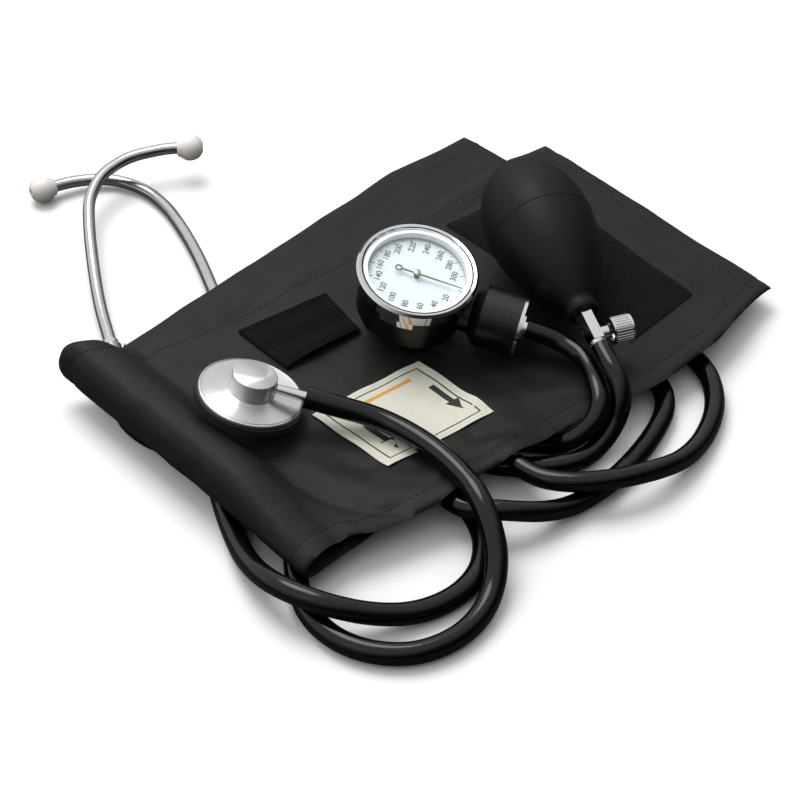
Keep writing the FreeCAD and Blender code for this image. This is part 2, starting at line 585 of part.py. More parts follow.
def make_dial():
    dial_radius = CASE_RADIUS - CASE_WALL - 0.3
    dial = rod(dial_radius, DIAL_LEVEL, DIAL_LEVEL + 0.6).cut(rod(1.2, -20, 0))
    keep("dial_plate", place(dial, GAUGE))
    posts = []
    post_circle = dial_radius - 4.3
    for angle in (60, 180, 270):
        spot = Rotation(Z_AXIS, angle).multVec(Vector(post_circle, 0, 0))
        posts.append(place(rod(1.4, MOVEMENT_HIGH + PLATE, DIAL_LEVEL, Z_AXIS, spot), GAUGE))
    keep("dial_posts", *posts)
    hub = rod(1.5, POINTER_LEVEL - 0.4, POINTER_LEVEL + 1.0).cut(rod(SPINDLE, -9, POINTER_LEVEL - 0.2))
    reach = dial_radius - 1.8
    arm = Part.makePolygon([
        Vector(0, -0.4, 0), Vector(reach, -0.1, 0), Vector(reach, 0.1, 0), Vector(0, 0.4, 0),
        Vector(0, -0.4, 0),
    ])
    arm = Part.Face(arm).extrude(Vector(0, 0, 0.4))
    tail = Part.makeBox(7, 0.6, 0.4, Vector(-7, -0.3, 0))
    ring = pipe(1.6, 1.0, 0, 0.4, Z_AXIS, Vector(-8.3, 0, 0))
    arm = arm.fuse([tail, ring])
    arm.translate(Vector(0, 0, POINTER_LEVEL))
    arm.rotate(Vector(0, 0, 0), Z_AXIS, SCALE_START)
    keep("pointer", place(hub.fuse(arm).removeSplitter(), GAUGE))


# ---------------------------------------------------------------- bulb and release valve
BULB_TURN = Rotation(-113.0, 9.0, 0.0)
NECK_TIP = GAUGE.multVec(Vector(NECK_END, 0, -NECK_DEPTH))
BULB_GAP = Vector(22.071, -17.1137, 0)          # from the tip of the neck to the bulb's end, in plan
BULB_RISE = BULB_RADIUS * BULB_TURN.multVec(Z_AXIS).z - 6.4045
BULB_AT = Vector(NECK_TIP.x, NECK_TIP.y, UPPER_LOW + PANEL + BULB_RISE) + BULB_GAP
BULB = Placement(BULB_AT, BULB_TURN)


def bulb_outline(radius, start, end, neck):
    """Egg-shaped half outline: round at the inlet end, drawn in towards the neck."""
    widest = start + 0.42 * (end - start)
    points = []
    for step in range(9):
        angle = math.pi / 2 * step / 8
        points.append((widest - (widest - start) * math.cos(angle), radius * math.sin(angle)))
    for step in range(1, 9):
        share = step / 8
        points.append((widest + (end - widest) * share,
                       neck + (radius - neck) * (1 - share ** 2.1) ** 0.95))
    return points


def spun_curve(points):
    """Spin a smooth curve through points about X, closed by flat ends."""
    curve = Part.BSplineCurve()
    curve.interpolate([Vector(along, radius, 0) for along, radius in points])
    start = Vector(points[0][0], 0, 0)
    end = Vector(points[-1][0], 0, 0)
    edges = [curve.toShape()]
    if points[0][1] > 0.01:
        edges.append(Part.LineSegment(start, Vector(points[0][0], points[0][1], 0)).toShape())
    edges.append(Part.LineSegment(Vector(points[-1][0], points[-1][1], 0), end).toShape())
    edges.append(Part.LineSegment(end, start).toShape())
    face = Part.Face(Part.Wire(Part.__sortEdges__(edges)))
    return face.revolve(Vector(0, 0, 0), X_AXIS, 360)


def make_bulb():
    outside = spun_curve(bulb_outline(BULB_RADIUS, -BULB_LENGTH, -5.0, BULB_NECK))
    collar = rod(BULB_NECK, -7.0, 0.0, X_AXIS)
    inside = spun_curve(bulb_outline(BULB_RADIUS - BULB_WALL, -BULB_LENGTH + BULB_WALL, -11.0, 3.4))
    inlet = rod(5.0, -BULB_LENGTH - 1, -BULB_LENGTH + 12, X_AXIS)
    outlet = rod(3.4, -14, 1, X_AXIS)
    boss = pipe(7.2, 4.9, -BULB_LENGTH + 1.5, -BULB_LENGTH + 8.0, X_AXIS)
    bulb = outside.fuse([collar, boss]).cut(inside.cut(boss)).cut(inlet).cut(outlet)
    keep("bulb", place(bulb, BULB))


def make_inlet_valve():
    start = -BULB_LENGTH + 0.6
    seat = rod(5.0, start, start + 8.0, X_AXIS)
    seat = seat.cut(rod(1.5, start - 1, start + 3, X_AXIS))
    seat = seat.cut(rod(3.4, start + 2.0, start + 6.4, X_AXIS))
    for angle in (0, 120, 240):
        spot = Vector(0, 1.9 * math.cos(math.radians(angle)), 1.9 * math.sin(math.radians(angle)))
        seat = seat.cut(rod(0.9, start + 6.0, start + 9.0, X_AXIS, spot))
    keep("inlet_valve_seat", place(seat, BULB))
    keep("inlet_valve_disc", place(rod(3.0, start + 2.1, start + 3.3, X_AXIS), BULB))


def make_release_valve():
    side = Vector(0, 1, 0)
    knob_axis = Vector(KNOB_AT, 0, 0)
    body = hexagon(VALVE_FLATS, 0.0, VALVE_LENGTH - 2.0)
    body = body.fuse(turned([
        (VALVE_LENGTH - 2.0, 0), (VALVE_LENGTH - 2.0, 3.9), (VALVE_LENGTH, 3.0), (VALVE_LENGTH, 0)]))
    body = body.fuse(rod(3.4, -10.0, 0.0, X_AXIS))
    body = body.fuse(rod(HOSE_BORE / 2, VALVE_LENGTH, VALVE_LENGTH + VALVE_BARB, X_AXIS))
    body = body.fuse(rod(3.2, 0, 6.0, side, knob_axis))
    body = body.cut(rod(1.1, -11, VALVE_LENGTH + 10, X_AXIS))
    body = body.cut(rod(2.3, -8.0, -4.0, X_AXIS))
    body = body.cut(rod(1.7, 0, 7.0, side, knob_axis))
    body = body.cut(rod(0.6, -6, 0, Z_AXIS, knob_axis))
    keep("valve_body", place(body.removeSplitter(), BULB))
    keep("outlet_valve_disc", place(rod(2.0, -7.9, -6.9, X_AXIS), BULB))
    stem = rod(1.65, 2.0, 7.0, side, knob_axis)
    stem = stem.fuse(Part.makeCone(0.5, 1.65, 1.0, knob_axis + side * 1.0, side))
    stem = stem.fuse(rod(KNOB_BORE - RUN_FIT, 7.0, 13.0, side, knob_axis))
    keep("release_screw", place(stem.removeSplitter(), BULB))
    knob = rod(KNOB_RADIUS, 7.6, 7.6 + KNOB_LENGTH, side, knob_axis)
    knob = knob.cut(rod(4.2, 7.0, 9.6, side, knob_axis))
    knob = knob.cut(rod(KNOB_BORE, 7.0, 13.0, side, knob_axis))
    flutes = []
    for index in range(30):
        angle = math.radians(12 * index)
        spot = knob_axis + Vector(math.cos(angle), 0, math.sin(angle)) * (KNOB_RADIUS + 0.12)
        flutes.append(rod(0.35, 8.4, 7.0 + KNOB_LENGTH - 0.2, side, spot))
    knob = knob.cut(Part.makeCompound(flutes))
    keep("release_knob", place(knob, BULB))
    washer = pipe(2.9, 1.9, 6.0, 6.8, side, knob_axis)
    keep("release_seal", place(washer, BULB))


# ---------------------------------------------------------------- stethoscope
CHEST_TURN = Rotation(-52.0, 13.1, -6.3)
CHEST_TIP = math.acos(CHEST_TURN.multVec(Z_AXIS).z)
CHEST_AT = Vector(34.7, 83.3, ROLL_TOP - 4.9146 + CHEST_RADIUS * math.sin(CHEST_TIP))
CHEST = Placement(CHEST_AT, CHEST_TURN)
HEAD_RADIUS = CHEST_RADIUS - 1.0


def make_chest_piece():
    stem_line = Vector(0, 0, STEM_HEIGHT)
    head = turned([
        (-4.0, 0), (-4.0, CHEST_RADIUS - 1.4), (-1.0, HEAD_RADIUS), (0.0, HEAD_RADIUS - 0.8),
        (0.9, CHEST_HUB + 0.75), (1.2, CHEST_HUB),
        (CHEST_HUB_TOP - 0.6, CHEST_HUB), (CHEST_HUB_TOP, CHEST_HUB - 0.6), (CHEST_HUB_TOP, 0),
    ], Z_AXIS)
    bowl_radius = HEAD_RADIUS - 2.6
    bowl = turned([(-4.1, 0), (-4.1, bowl_radius), (-3.2, bowl_radius), (-1.2, 2.0), (-1.2, 0)], Z_AXIS)
    head = head.cut(bowl).cut(rod(1.5, -4, STEM_HEIGHT)).cut(rod(2.4, 0, CHEST_HUB + 2, X_AXIS, stem_line))
    keep("chest_head", place(head, CHEST))
    rim = turned([
        (-5.4, HEAD_RADIUS - 3.2), (-5.4, CHEST_RADIUS), (-1.0, CHEST_RADIUS), (-1.0, HEAD_RADIUS + 0.1),
        (-4.6, HEAD_RADIUS + 0.1), (-4.6, HEAD_RADIUS - 3.2),
    ], Z_AXIS)
    keep("chest_rim", place(rim, CHEST))
    keep("diaphragm", place(rod(HEAD_RADIUS, -4.6, -4.05), CHEST))
    stem = turned([
        (3.0, 0), (3.0, 2.4), (CHEST_HUB, 2.4), (CHEST_HUB + 0.4, 1.9), (22.0, 2.35),
        (STEM_REACH, TUBE_BORE / 2), (STEM_REACH, 0),
    ])
    stem = stem.cut(rod(1.2, 2, STEM_REACH + 1, X_AXIS))
    stem.translate(stem_line)
    keep("chest_stem", place(stem, CHEST))


YOKE_HEIGHT = TUBE / 2 + 0.15
YOKE_START = Vector(5, 70, YOKE_HEIGHT)
YOKE_CROTCH = Vector(11, 81, YOKE_HEIGHT)
YOKE_LEFT = Vector(8, 93, YOKE_HEIGHT)
YOKE_RIGHT = Vector(21, 89, YOKE_HEIGHT)
EAR_WAY = Vector(8, 17, 0)
EAR_PATH_LEFT = [
    (22, 162, 4.4), (39, 196, 5.6), (51, 216, 8.0), (64, 236, 11.6),
    (76, 252, 14.6), (90, 261, 16.6), (108, 263, 17.2), (125, 256, 17.2), (133, 250, 17.2),
]
EAR_PATH_RIGHT = [
    (78, 157, 4.4), (94, 192, 3.8), (102, 213, 3.2), (108, 234, 3.2),
    (109, 252, 3.4), (102, 268, 4.2), (88, 277, 5.6), (72, 281, 6.6),
]


def cone_between(start, end, radius_start, radius_end):
    way = end - start
    if abs(radius_start - radius_end) < 1e-6:
        return Part.makeCylinder(radius_start, way.Length, start, way)
    return Part.makeCone(radius_start, radius_end, way.Length, start, way)


def make_yoke():
    """Moulded Y-piece between the chest tube and the two arms."""
    radius = TUBE / 2
    yoke = cone_between(YOKE_START, YOKE_CROTCH, radius, radius)
    yoke = yoke.fuse(Part.makeSphere(radius, YOKE_CROTCH))
    for end in (YOKE_LEFT, YOKE_RIGHT):
        yoke = yoke.fuse(cone_between(YOKE_CROTCH, end, radius, 3.9))
    keep("tube_yoke", yoke.removeSplitter())


FERRULE_START = 1.5             # from each pivot along its ear tube
FERRULE_END = 13.0


def make_ear_tube(side, route):
    """Bent metal ear tube, its lower ferrule and its soft ear tip."""
    points = [Vector(*point) for point in route]
    radii = [0.0]
    for before, corner, after in zip(points, points[1:], points[2:]):
        back = before - corner
        ahead = after - corner
        turn = math.pi - back.getAngle(ahead)
        radii.append(0.45 * min(back.Length, ahead.Length) / math.tan(turn / 2))
    radii.append(0.0)
    wire = Part.Wire(rounded_path(points, radii))
    first = (points[1] - points[0]).normalize()
    last = (points[-1] - points[-2]).normalize()
    tube = wire.makePipeShell([Part.Wire(Part.makeCircle(EAR_TUBE / 2, points[0], first))], True, False)
    tube = tube.cut(rod(EAR_TUBE / 2 - EAR_TUBE_WALL, 0, 12, first, points[0]))
    tube = tube.cut(rod(EAR_TUBE / 2 - EAR_TUBE_WALL, -6, 0, last, points[-1]))
    keep("ear_tube_" + side, tube)
    keep("ferrule_" + side, pipe(FERRULE / 2, EAR_TUBE / 2, FERRULE_START, FERRULE_END, first, points[0]))
    tip_profile = [
        (-4.5, EAR_TUBE / 2 + 0.0), (-4.5, 4.0), (-3.0, 4.4), (-1.5, 5.6), (0.5, EAR_TIP / 2),
        (3.0, EAR_TIP / 2), (5.6, 5.2), (7.2, 3.4), (7.8, 1.4), (0.0, 1.4), (0.0, EAR_TUBE / 2),
    ]
    tip = turned(tip_profile)
    tip = place(tip, Placement(points[-1], Rotation(X_AXIS, last)))
    keep("ear_tip_" + side, tip)


CLIP_WALL = 0.9                 # of the open clips that hold the leaf spring to the ferrules
CLIP_LENGTH = 4.4
SPRING_STRIP = 0.8
SPRING_BOW = 18.0               # the leaf spring bows back this far towards the yoke
CLIP_RADIUS = FERRULE / 2 + CLIP_WALL


def make_leaf_spring():
    """Bowed strip that draws the two ear tubes together, and its open clip on each ferrule."""
    way = Vector(EAR_WAY).normalize()
    across = Vector(way.y, -way.x, 0)
    centres = []
    for side, route in (("left", EAR_PATH_LEFT), ("right", EAR_PATH_RIGHT)):
        start = Vector(*route[0])
        along = (Vector(*route[1]) - start).normalize()
        centre = start + along * ((FERRULE_START + FERRULE_END) / 2)
        clip = pipe(CLIP_RADIUS, FERRULE / 2, -CLIP_LENGTH / 2, CLIP_LENGTH / 2, along, centre)
        mouth = Part.makeBox(20, 20, 10, centre - Vector(10, 10, FERRULE / 2 - 0.6 + 10))
        keep("spring_clip_" + side, clip.cut(mouth))
        centres.append(centre)
    start = centres[0] + across * (CLIP_RADIUS + 0.6)
    end = centres[1] - across * (CLIP_RADIUS + 0.6)
    end.z = start.z
    middle = (start + end) * 0.5 - way * SPRING_BOW
    half_span = (end - start).Length / 2
    bend = (half_span ** 2 + SPRING_BOW ** 2) / (2 * SPRING_BOW)
    hub = middle + way * bend
    inner = [hub + (point - hub) * (1 - SPRING_STRIP / bend) for point in (start, middle, end)]
    edges = [
        Part.Arc(start, middle, end).toShape(),
        Part.Arc(*inner).toShape(),
        Part.LineSegment(start, inner[0]).toShape(),
        Part.LineSegment(end, inner[2]).toShape(),
    ]
    strip = Part.Face(Part.Wire(Part.__sortEdges__(edges))).extrude(Vector(0, 0, 6.0))
    strip.translate(Vector(0, 0, -3.0))
    keep("leaf_spring", strip)


# ---------------------------------------------------------------- hose routes
def gauge_exit(distance):
    return GAUGE.multVec(Vector(NECK_END + distance, 0, -NECK_DEPTH))


def valve_exit(distance):
    return BULB.multVec(Vector(VALVE_LENGTH + distance, 0, 0))


def chest_exit(distance):
    return CHEST.multVec(Vector(22.6 + distance, 0, STEM_HEIGHT))


def port_exit(index, distance):
    return Vector(PORT_X[index], PORT_EXIT[index] - distance, port_height(index))


def make_hoses():
    low = HOSE / 2 + 0.2
    hose_solid("gauge_hose", [
        gauge_exit(3.4), gauge_exit(11.4), (159.6, 23.8, 24.5), (160.6, 13.6, 23.9),
        (157.1, 4.8, 23.2), (151.2, -4.6, 23.6), (147.3, -10.8, 22.1), (142.3, -14.4, 18.9),
        (136.4, -14.9, 15.0), (130.1, -12.0, 10.6), (126.0, -5.6, 5.6), (119.5, 4.0, low),
        (113, 14, low), (109, 26, low), (112, 37.5, low), (123, 44, low), (138, 46, low),
        (153, 44, low), (168, 36, low), (181, 24, low), (189, 8, low), (189, -8, low),
        (180, -20.5, low), (164, -28.5, low), (145, -34.2, low), (124, -37.4, low),
        (105, -37, 5.6), (90, -34, 10.4), (77.5, -27.5, 15.0), (69, -18, 14.6),
        port_exit(0, 6.8), port_exit(0, 0),
    ], HOSE, HOSE_BORE, (8.6, PORT_BARB + 0.4))
    hose_solid("bulb_hose", [
        valve_exit(0.2), valve_exit(8.2), (158.9, -8.4, 28.2), (157.0, -13.4, 24.7),
        (154.2, -17.0, 19.3), (150.2, -18.0, 12.2), (142.1, -19.0, 6.8), (130.5, -20.0, 5.3),
        (120.4, -15.9, 4.8), (111.4, -9.0, low), (101.5, 0.5, low), (95, 12, low),
        (94.5, 27, low), (100, 41, low), (112, 51.5, low), (129, 57, low), (148, 57, low),
        (168, 52, low), (187, 42, low), (202, 28, low), (211, 11, low), (213, -6, low),
        (207, -22, low), (194, -36, low), (177, -45, low), (159, -50, 7.4), (142, -50, 12.4),
        (126, -45, 14.4), (112, -36, 14.4), (103.5, -26, 14.0), port_exit(1, 8.6), port_exit(1, 0),
    ], HOSE, HOSE_BORE, (VALVE_BARB + 0.2, PORT_BARB + 0.4))
    flat = TUBE / 2 + 0.2
    yoke_way = (YOKE_START - YOKE_CROTCH).normalize()
    hose_solid("chest_tube", [
        chest_exit(0.0), chest_exit(12.0), (68, 42, 25.4), (73, 26, 23.8), (74, 10, 23.6),
        (72, -6, 24.0), (68, -20, 24.6), (63, -33, 20.0), (57, -43, 13.0), (47, -51, 6.6),
        (33, -57, flat), (17, -58, flat), (2, -53, flat), (-9, -42, flat), (-15, -28, flat),
        (-15, -12, flat), (-9, 3, flat), (1, 17, flat), (12, 29, flat), (27, 38, flat),
        (44, 39, flat), (60, 32, flat), (71, 19, flat), (75, 3, flat), (73, -13, flat),
        (65, -28, flat), (51, -39, flat), (34, -42, flat), (17, -38, 5.4), (2, -30, 9.4),
        (-11, -19, 15.0), (-18, -4, 16.0), (-19, 12, 12.8), (-15, 28, 8.0), (-9, 42, 5.2),
        YOKE_START + yoke_way * 15.0, YOKE_START,
    ], TUBE, TUBE_BORE, (11.4, 0))
    for side, start, middle, route in (
        ("left", YOKE_LEFT, [(1.5, 115, 4.6), (1.5, 128, 4.5), (7, 140, 4.5)], EAR_PATH_LEFT),
        ("right", YOKE_RIGHT, [(43, 109, 4.6), (57, 124, 4.5)], EAR_PATH_RIGHT),
    ):
        lead = start + (start - YOKE_CROTCH).normalize() * 10.0
        first = Vector(*route[0])
        way = (first - Vector(*route[1])).normalize()
        tail = [first + way * 12.0, first + way * ARM_GAP]
        hose_solid("arm_tube_" + side, [start, lead] + middle + tail, ARM_TUBE, TUBE_BORE, (0, 0))


make_cuff()
make_patches()
make_gauge_shell()
make_capsule()
make_movement_frame()
make_movement()
make_dial()
make_bulb()
make_inlet_valve()
make_release_valve()
make_chest_piece()
make_yoke()
make_ear_tube("left", EAR_PATH_LEFT)
make_ear_tube("right", EAR_PATH_RIGHT)
make_leaf_spring()
make_hoses()

FREE_CORDS = ("gauge_hose", "bulb_hose", "chest_tube", "arm_tube_left", "arm_tube_right")
solid_nodes = [shape for name, shape in nodes.items() if name not in FREE_CORDS]
box = Part.makeCompound(solid_nodes).optimalBoundingBox(False, False)
origin = Vector((box.XMin + box.XMax) / 2, (box.YMin + box.YMax) / 2, 0)
os.makedirs("parts", exist_ok=True)
for name, shape in nodes.items():
    moved = shape.copy()
    moved.translate(origin * -1)
    moved.exportStep("parts/" + name + ".step")
print("origin", origin, "lowest", round(box.ZMin, 3))
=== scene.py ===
"""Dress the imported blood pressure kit: cloth cuff, dial gauge, bulb, hoses and stethoscope."""

from __future__ import annotations

import json
import logging
import math
from dataclasses import dataclass, field
from enum import Enum
from typing import Callable, Iterable, Sequence

import bpy
from bpy.types import Node, NodeSocket, NodeTree, Object
from mathutils import Euler, Matrix, Vector, noise

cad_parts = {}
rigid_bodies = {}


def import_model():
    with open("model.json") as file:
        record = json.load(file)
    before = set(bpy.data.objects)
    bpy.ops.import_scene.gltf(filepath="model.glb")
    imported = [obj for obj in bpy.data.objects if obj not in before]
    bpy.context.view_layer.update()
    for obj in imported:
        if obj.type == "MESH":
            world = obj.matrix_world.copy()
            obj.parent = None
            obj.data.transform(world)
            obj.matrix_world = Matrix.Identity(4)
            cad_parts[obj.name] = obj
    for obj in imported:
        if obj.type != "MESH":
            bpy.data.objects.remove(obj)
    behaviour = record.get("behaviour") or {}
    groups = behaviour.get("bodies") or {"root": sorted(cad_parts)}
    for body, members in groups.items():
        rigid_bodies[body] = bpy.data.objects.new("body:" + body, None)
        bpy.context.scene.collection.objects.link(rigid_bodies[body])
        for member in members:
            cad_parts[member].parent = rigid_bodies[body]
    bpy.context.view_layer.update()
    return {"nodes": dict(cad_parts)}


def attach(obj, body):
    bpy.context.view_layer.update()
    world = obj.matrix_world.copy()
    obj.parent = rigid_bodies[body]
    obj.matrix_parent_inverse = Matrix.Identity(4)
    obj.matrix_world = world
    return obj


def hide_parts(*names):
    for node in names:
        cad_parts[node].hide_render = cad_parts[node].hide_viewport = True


LOG = logging.getLogger("pressure_kit")
MM = 0.001
KIT = "kit"
CUFF_CORNER = Vector((130.899, 137.669, 0.0))  # the frame's origin, in mm from the cuff's corner
WAVE_PERIOD = 0.31416  # one band of a wave texture at scale 1
CLOUD = 45.0  # scale of the uneven gloss: clouds about 22 mm across
PRINT_RISE, PRINT_SINK = 0.05, -0.1  # how far a mark stands out of its cloth, and reaches into it
ARROW_FACES = ((0, 1, 2), (5, 4, 3), (0, 3, 4, 1), (1, 4, 5, 2), (2, 5, 3, 0))

Pair = tuple[float, float]
Triple = tuple[float, float, float]


# ---- small helpers
def spot(x: float, y: float, z: float) -> Vector:
    """Turn millimetres from the cuff's front corner into metres in the row frame."""
    return (Vector((x, y, z)) - CUFF_CORNER) * MM


def seat(place: Triple, yaw: float, pitch: float, roll: float) -> Matrix:
    """Matrix from a piece's own millimetres to metres in the row frame.

    Args:
        place: The piece's own origin, in millimetres from the cuff's corner.
        yaw: Turn about Z in degrees, made last.
        pitch: Turn about Y in degrees.
        roll: Turn about X in degrees, made first.

    Returns:
        The seating matrix.
    """
    turn = Matrix.Identity(4)
    for angle, axis in ((yaw, "Z"), (pitch, "Y"), (roll, "X")):
        turn = turn @ Matrix.Rotation(math.radians(angle), 4, axis)
    return Matrix.Translation(spot(*place)) @ turn @ Matrix.Scale(MM, 4)


def linear(colour: str) -> tuple[float, ...]:
    """Turn an sRGB hex colour into linear red, green and blue with a full alpha."""
    parts = [int(colour[i : i + 2], 16) / 255 for i in (1, 3, 5)]
    return (*(p / 12.92 if p <= 0.04045 else ((p + 0.055) / 1.055) ** 2.4 for p in parts), 1.0)


def ease(low: float, high: float, value: float) -> float:
    """Smooth step from 0 at low to 1 at high."""
    share = min(1.0, max(0.0, (value - low) / (high - low)))
    return share * share * (3 - 2 * share)


def along(table: Sequence[Pair], x: float) -> float:
    """Read a smooth value from a table, level beyond both of its ends.

    Args:
        table: (x, value) pairs in order of x.
        x: Where to read.

    Returns:
        The value there.
    """
    if x <= table[0][0]:
        return table[0][1]
    for (x0, v0), (x1, v1) in zip(table, table[1:]):
        if x <= x1:
            return v0 + (v1 - v0) * ease(x0, x1, x)
    return table[-1][1]


def add(
    tree: NodeTree,
    kind: str,
    links: dict[str | int, Node | NodeSocket] | None = None,
    values: dict[str | int, object] | None = None,
    **settings: object,
) -> Node:
    """Add a node with its settings, values and incoming links.

    Args:
        tree: The tree to add to.
        kind: The node's type.
        links: What feeds its inputs: sockets, or nodes by their first output.
        values: Plain values of its inputs.
        **settings: The node's own properties.

    Returns:
        The new node.
    """
    node = tree.nodes.new(kind)
    for name, value in settings.items():
        setattr(node, name, value)
    for name, value in (values or {}).items():
        node.inputs[name].default_value = value
    for name, source in (links or {}).items():
        tree.links.new(source.outputs[0] if isinstance(source, Node) else source, node.inputs[name])
    return node


# ---- finishes
class Weave(Enum):
    """How a fine relief is laid out; a woven one's value names the ways that its bands run."""

    GRAIN = "grain"
    CELLS = "cells"
    PLAIN_WEAVE = "XY"
    RIBS = "Y"


class Axis(Enum):
    """The local axis of a turned piece."""

    X = "X"
    Z = "Z"


class Guide(Enum):
    """What a pattern follows."""

    OBJECT = "Object"
    UV = "UV"


@dataclass(frozen=True)
class Relief:
    """One layer of fine relief: its size and depth in mm, how far it tints, and its layout."""

    size: float
    depth: float
    tint: float = 0.0
    weave: Weave = Weave.GRAIN

    def height(self, tree: NodeTree, place: NodeSocket) -> NodeSocket:
        """Build the layer's height between 0 and 1.

        Args:
            tree: The material's tree.
            place: The coordinates it follows.

        Returns:
            The socket with its height.
        """
        follow, per_metre = {"Vector": place}, 1 / (self.size * MM)
        if self.weave is Weave.GRAIN:
            values = {"Scale": per_metre, "Detail": 3.0, "Roughness": 0.55}
            return add(tree, "ShaderNodeTexNoise", follow, values).outputs["Fac"]
        if self.weave is Weave.CELLS:
            values = {"Scale": per_metre, "Smoothness": 0.6}
            cells = add(tree, "ShaderNodeTexVoronoi", follow, values, feature="SMOOTH_F1")
            return cells.outputs["Distance"]
        values = {"Scale": WAVE_PERIOD * per_metre}
        bands = [
            add(tree, "ShaderNodeTexWave", follow, values, bands_direction=way).outputs["Fac"]
            for way in self.weave.value
        ]
        if len(bands) == 1:
            return bands[0]
        return add(tree, "ShaderNodeMath", dict(enumerate(bands)), operation="MULTIPLY").outputs[0]


@dataclass(frozen=True)
class Finish:
    """A surface finish with its colour, its gloss, its relief and the colour it tints towards."""

    name: str
    colour: str
    roughness: float
    dark: str = "#000000"
    reliefs: tuple[Relief, ...] = ()
    guide: Guide = Guide.OBJECT
    metallic: float = 0.0
    coat: float = 0.0
    sheen: float = 0.0
    specular: float = 0.5
    anisotropic: float = 0.0
    subsurface: float = 0.0
    rough_spread: float = 0.06

    def make(self) -> bpy.types.Material:
        """Build the material once, or give back the one built before.

        Returns:
            The material.
        """
        found = bpy.data.materials.get(self.name)
        if found:
            return found
        material = bpy.data.materials.new(self.name)
        material.use_nodes = True
        shader = material.node_tree.nodes["Principled BSDF"]
        settings = {
            "Base Color": linear(self.colour),
            "Roughness": self.roughness,
            "Metallic": self.metallic,
            "Coat Weight": self.coat,
            "Coat Roughness": 0.12,
            "Sheen Weight": self.sheen,
            "Sheen Roughness": 0.45,
            "Specular IOR Level": self.specular,
            "Anisotropic": self.anisotropic,
            "Anisotropic Rotation": 0.25,
            "Subsurface Weight": self.subsurface,
            "Subsurface Scale": 2 * MM,
        }
        for name, value in settings.items():
            shader.inputs[name].default_value = value
        self.dress(material.node_tree, shader)
        return material

    def dress(self, tree: NodeTree, shader: Node) -> None:
        """Add the relief, the tint and the uneven gloss.

        Args:
            tree: The material's tree.
            shader: Its shader.
        """
        place = add(tree, "ShaderNodeTexCoord").outputs[self.guide.value]
        fed: dict[str, NodeSocket] = {}
        if self.anisotropic:
            way = add(tree, "ShaderNodeTangent", direction_type="UV_MAP", uv_map="surface")
            fed["Tangent"] = way.outputs[0]
        for relief in self.reliefs:
            height = relief.height(tree, place)
            if relief.depth:
                links = {"Height": height}
                if "Normal" in fed:
                    links["Normal"] = fed["Normal"]
                size = {"Strength": 1.0, "Distance": relief.depth * MM}
                fed["Normal"] = add(tree, "ShaderNodeBump", links, size).outputs[0]
            if relief.tint:
                tint = {1: relief.tint}
                links = {0: add(tree, "ShaderNodeMath", {0: height}, tint, operation="MULTIPLY")}
                if "Base Color" in fed:
                    links[6] = fed["Base Color"]
                colours = {6: linear(self.colour), 7: linear(self.dark)}
                mix = add(tree, "ShaderNodeMix", links, colours, data_type="RGBA")
                fed["Base Color"] = mix.outputs[2]
        if self.rough_spread:
            values = {"Scale": CLOUD, "Detail": 2.0}
            cloud = add(tree, "ShaderNodeTexNoise", {"Vector": place}, values).outputs["Fac"]
            low = max(0.02, self.roughness - self.rough_spread)
            ends = {"To Min": low, "To Max": self.roughness + self.rough_spread}
            fed["Roughness"] = add(tree, "ShaderNodeMapRange", {"Value": cloud}, ends).outputs[0]
        for name, socket in fed.items():
            tree.links.new(socket, shader.inputs[name])


# Polyurethane-coated nylon, calendered: a dark satin face with a faint weave showing through.
COATED_NYLON = Finish(
    "coated_nylon", "#1d1f1c", 0.52, "#0a0a0a",
    (Relief(26.0, 1.1, 0.3), Relief(7.0, 0.25), Relief(0.9, 0.02, weave=Weave.PLAIN_WEAVE)),
    Guide.UV, specular=0.15,
)
# Nylon loop pile, woven: matt, with painted shade darkening the gaps between its loops.
LOOP_PILE = Finish(
    "nylon_loop_pile", "#121312", 0.9, "#040404",
    # the cells' tint darkens towards their edges: painted shade between the loops
    (Relief(0.9, 0.35, 0.8, Weave.CELLS), Relief(0.5, 0.15, 0.4)),
    Guide.UV, sheen=0.1, specular=0.12,
)
# Polyester webbing, rib-woven: matt ribs that catch the light along their crowns.
RIBBED_WEBBING = Finish(
    "ribbed_webbing", "#0d0d0d", 0.75, "#080808", (Relief(0.7, 0.12, 0.5, Weave.PLAIN_WEAVE),),
    Guide.UV, sheen=0.02, specular=0.1,
)
# Polyester satin label, woven: off-white with fine threads.
LABEL_SATIN = Finish(
    "label_satin", "#dddccc", 0.62, "#b7b4aa",
    (Relief(0.6, 0.05, 0.35, Weave.PLAIN_WEAVE), Relief(9.0, 0.4, 0.3)),
    Guide.UV, sheen=0.15, specular=0.3,
)
# Dyed polyester threads, woven into the label: matt and a little uneven.
LABEL_BLACK = Finish("label_black_thread", "#2b2a29", 0.7, reliefs=(Relief(0.4, 0.03, 0.4),))
LABEL_ORANGE = Finish("label_orange_thread", "#dd9a45", 0.7, "#c07f30", (Relief(0.4, 0.03, 0.4),))
# Polyester thread, twisted: slightly darker and glossier than the cloth that it holds.
SEWING_THREAD = Finish(
    "sewing_thread", "#161615", 0.6, "#0c0c0c", (Relief(0.5, 0.03, 0.5),), sheen=0.05, specular=0.2
)
# Plasticised PVC, extruded: black with a soft gloss drawn out along the hose.
EXTRUDED_VINYL = Finish(
    "extruded_vinyl", "#070708", 0.16, "#030303", (Relief(5.0, 0.05, 0.25), Relief(0.8, 0.006)),
    specular=0.34,
)
# Natural rubber, dip-moulded: a matt bloom over black.
MOULDED_RUBBER = Finish(
    "moulded_rubber", "#0f100f", 0.5, "#080808", (Relief(18.0, 0.12, 0.3), Relief(0.7, 0.02)),
    specular=0.17,
)
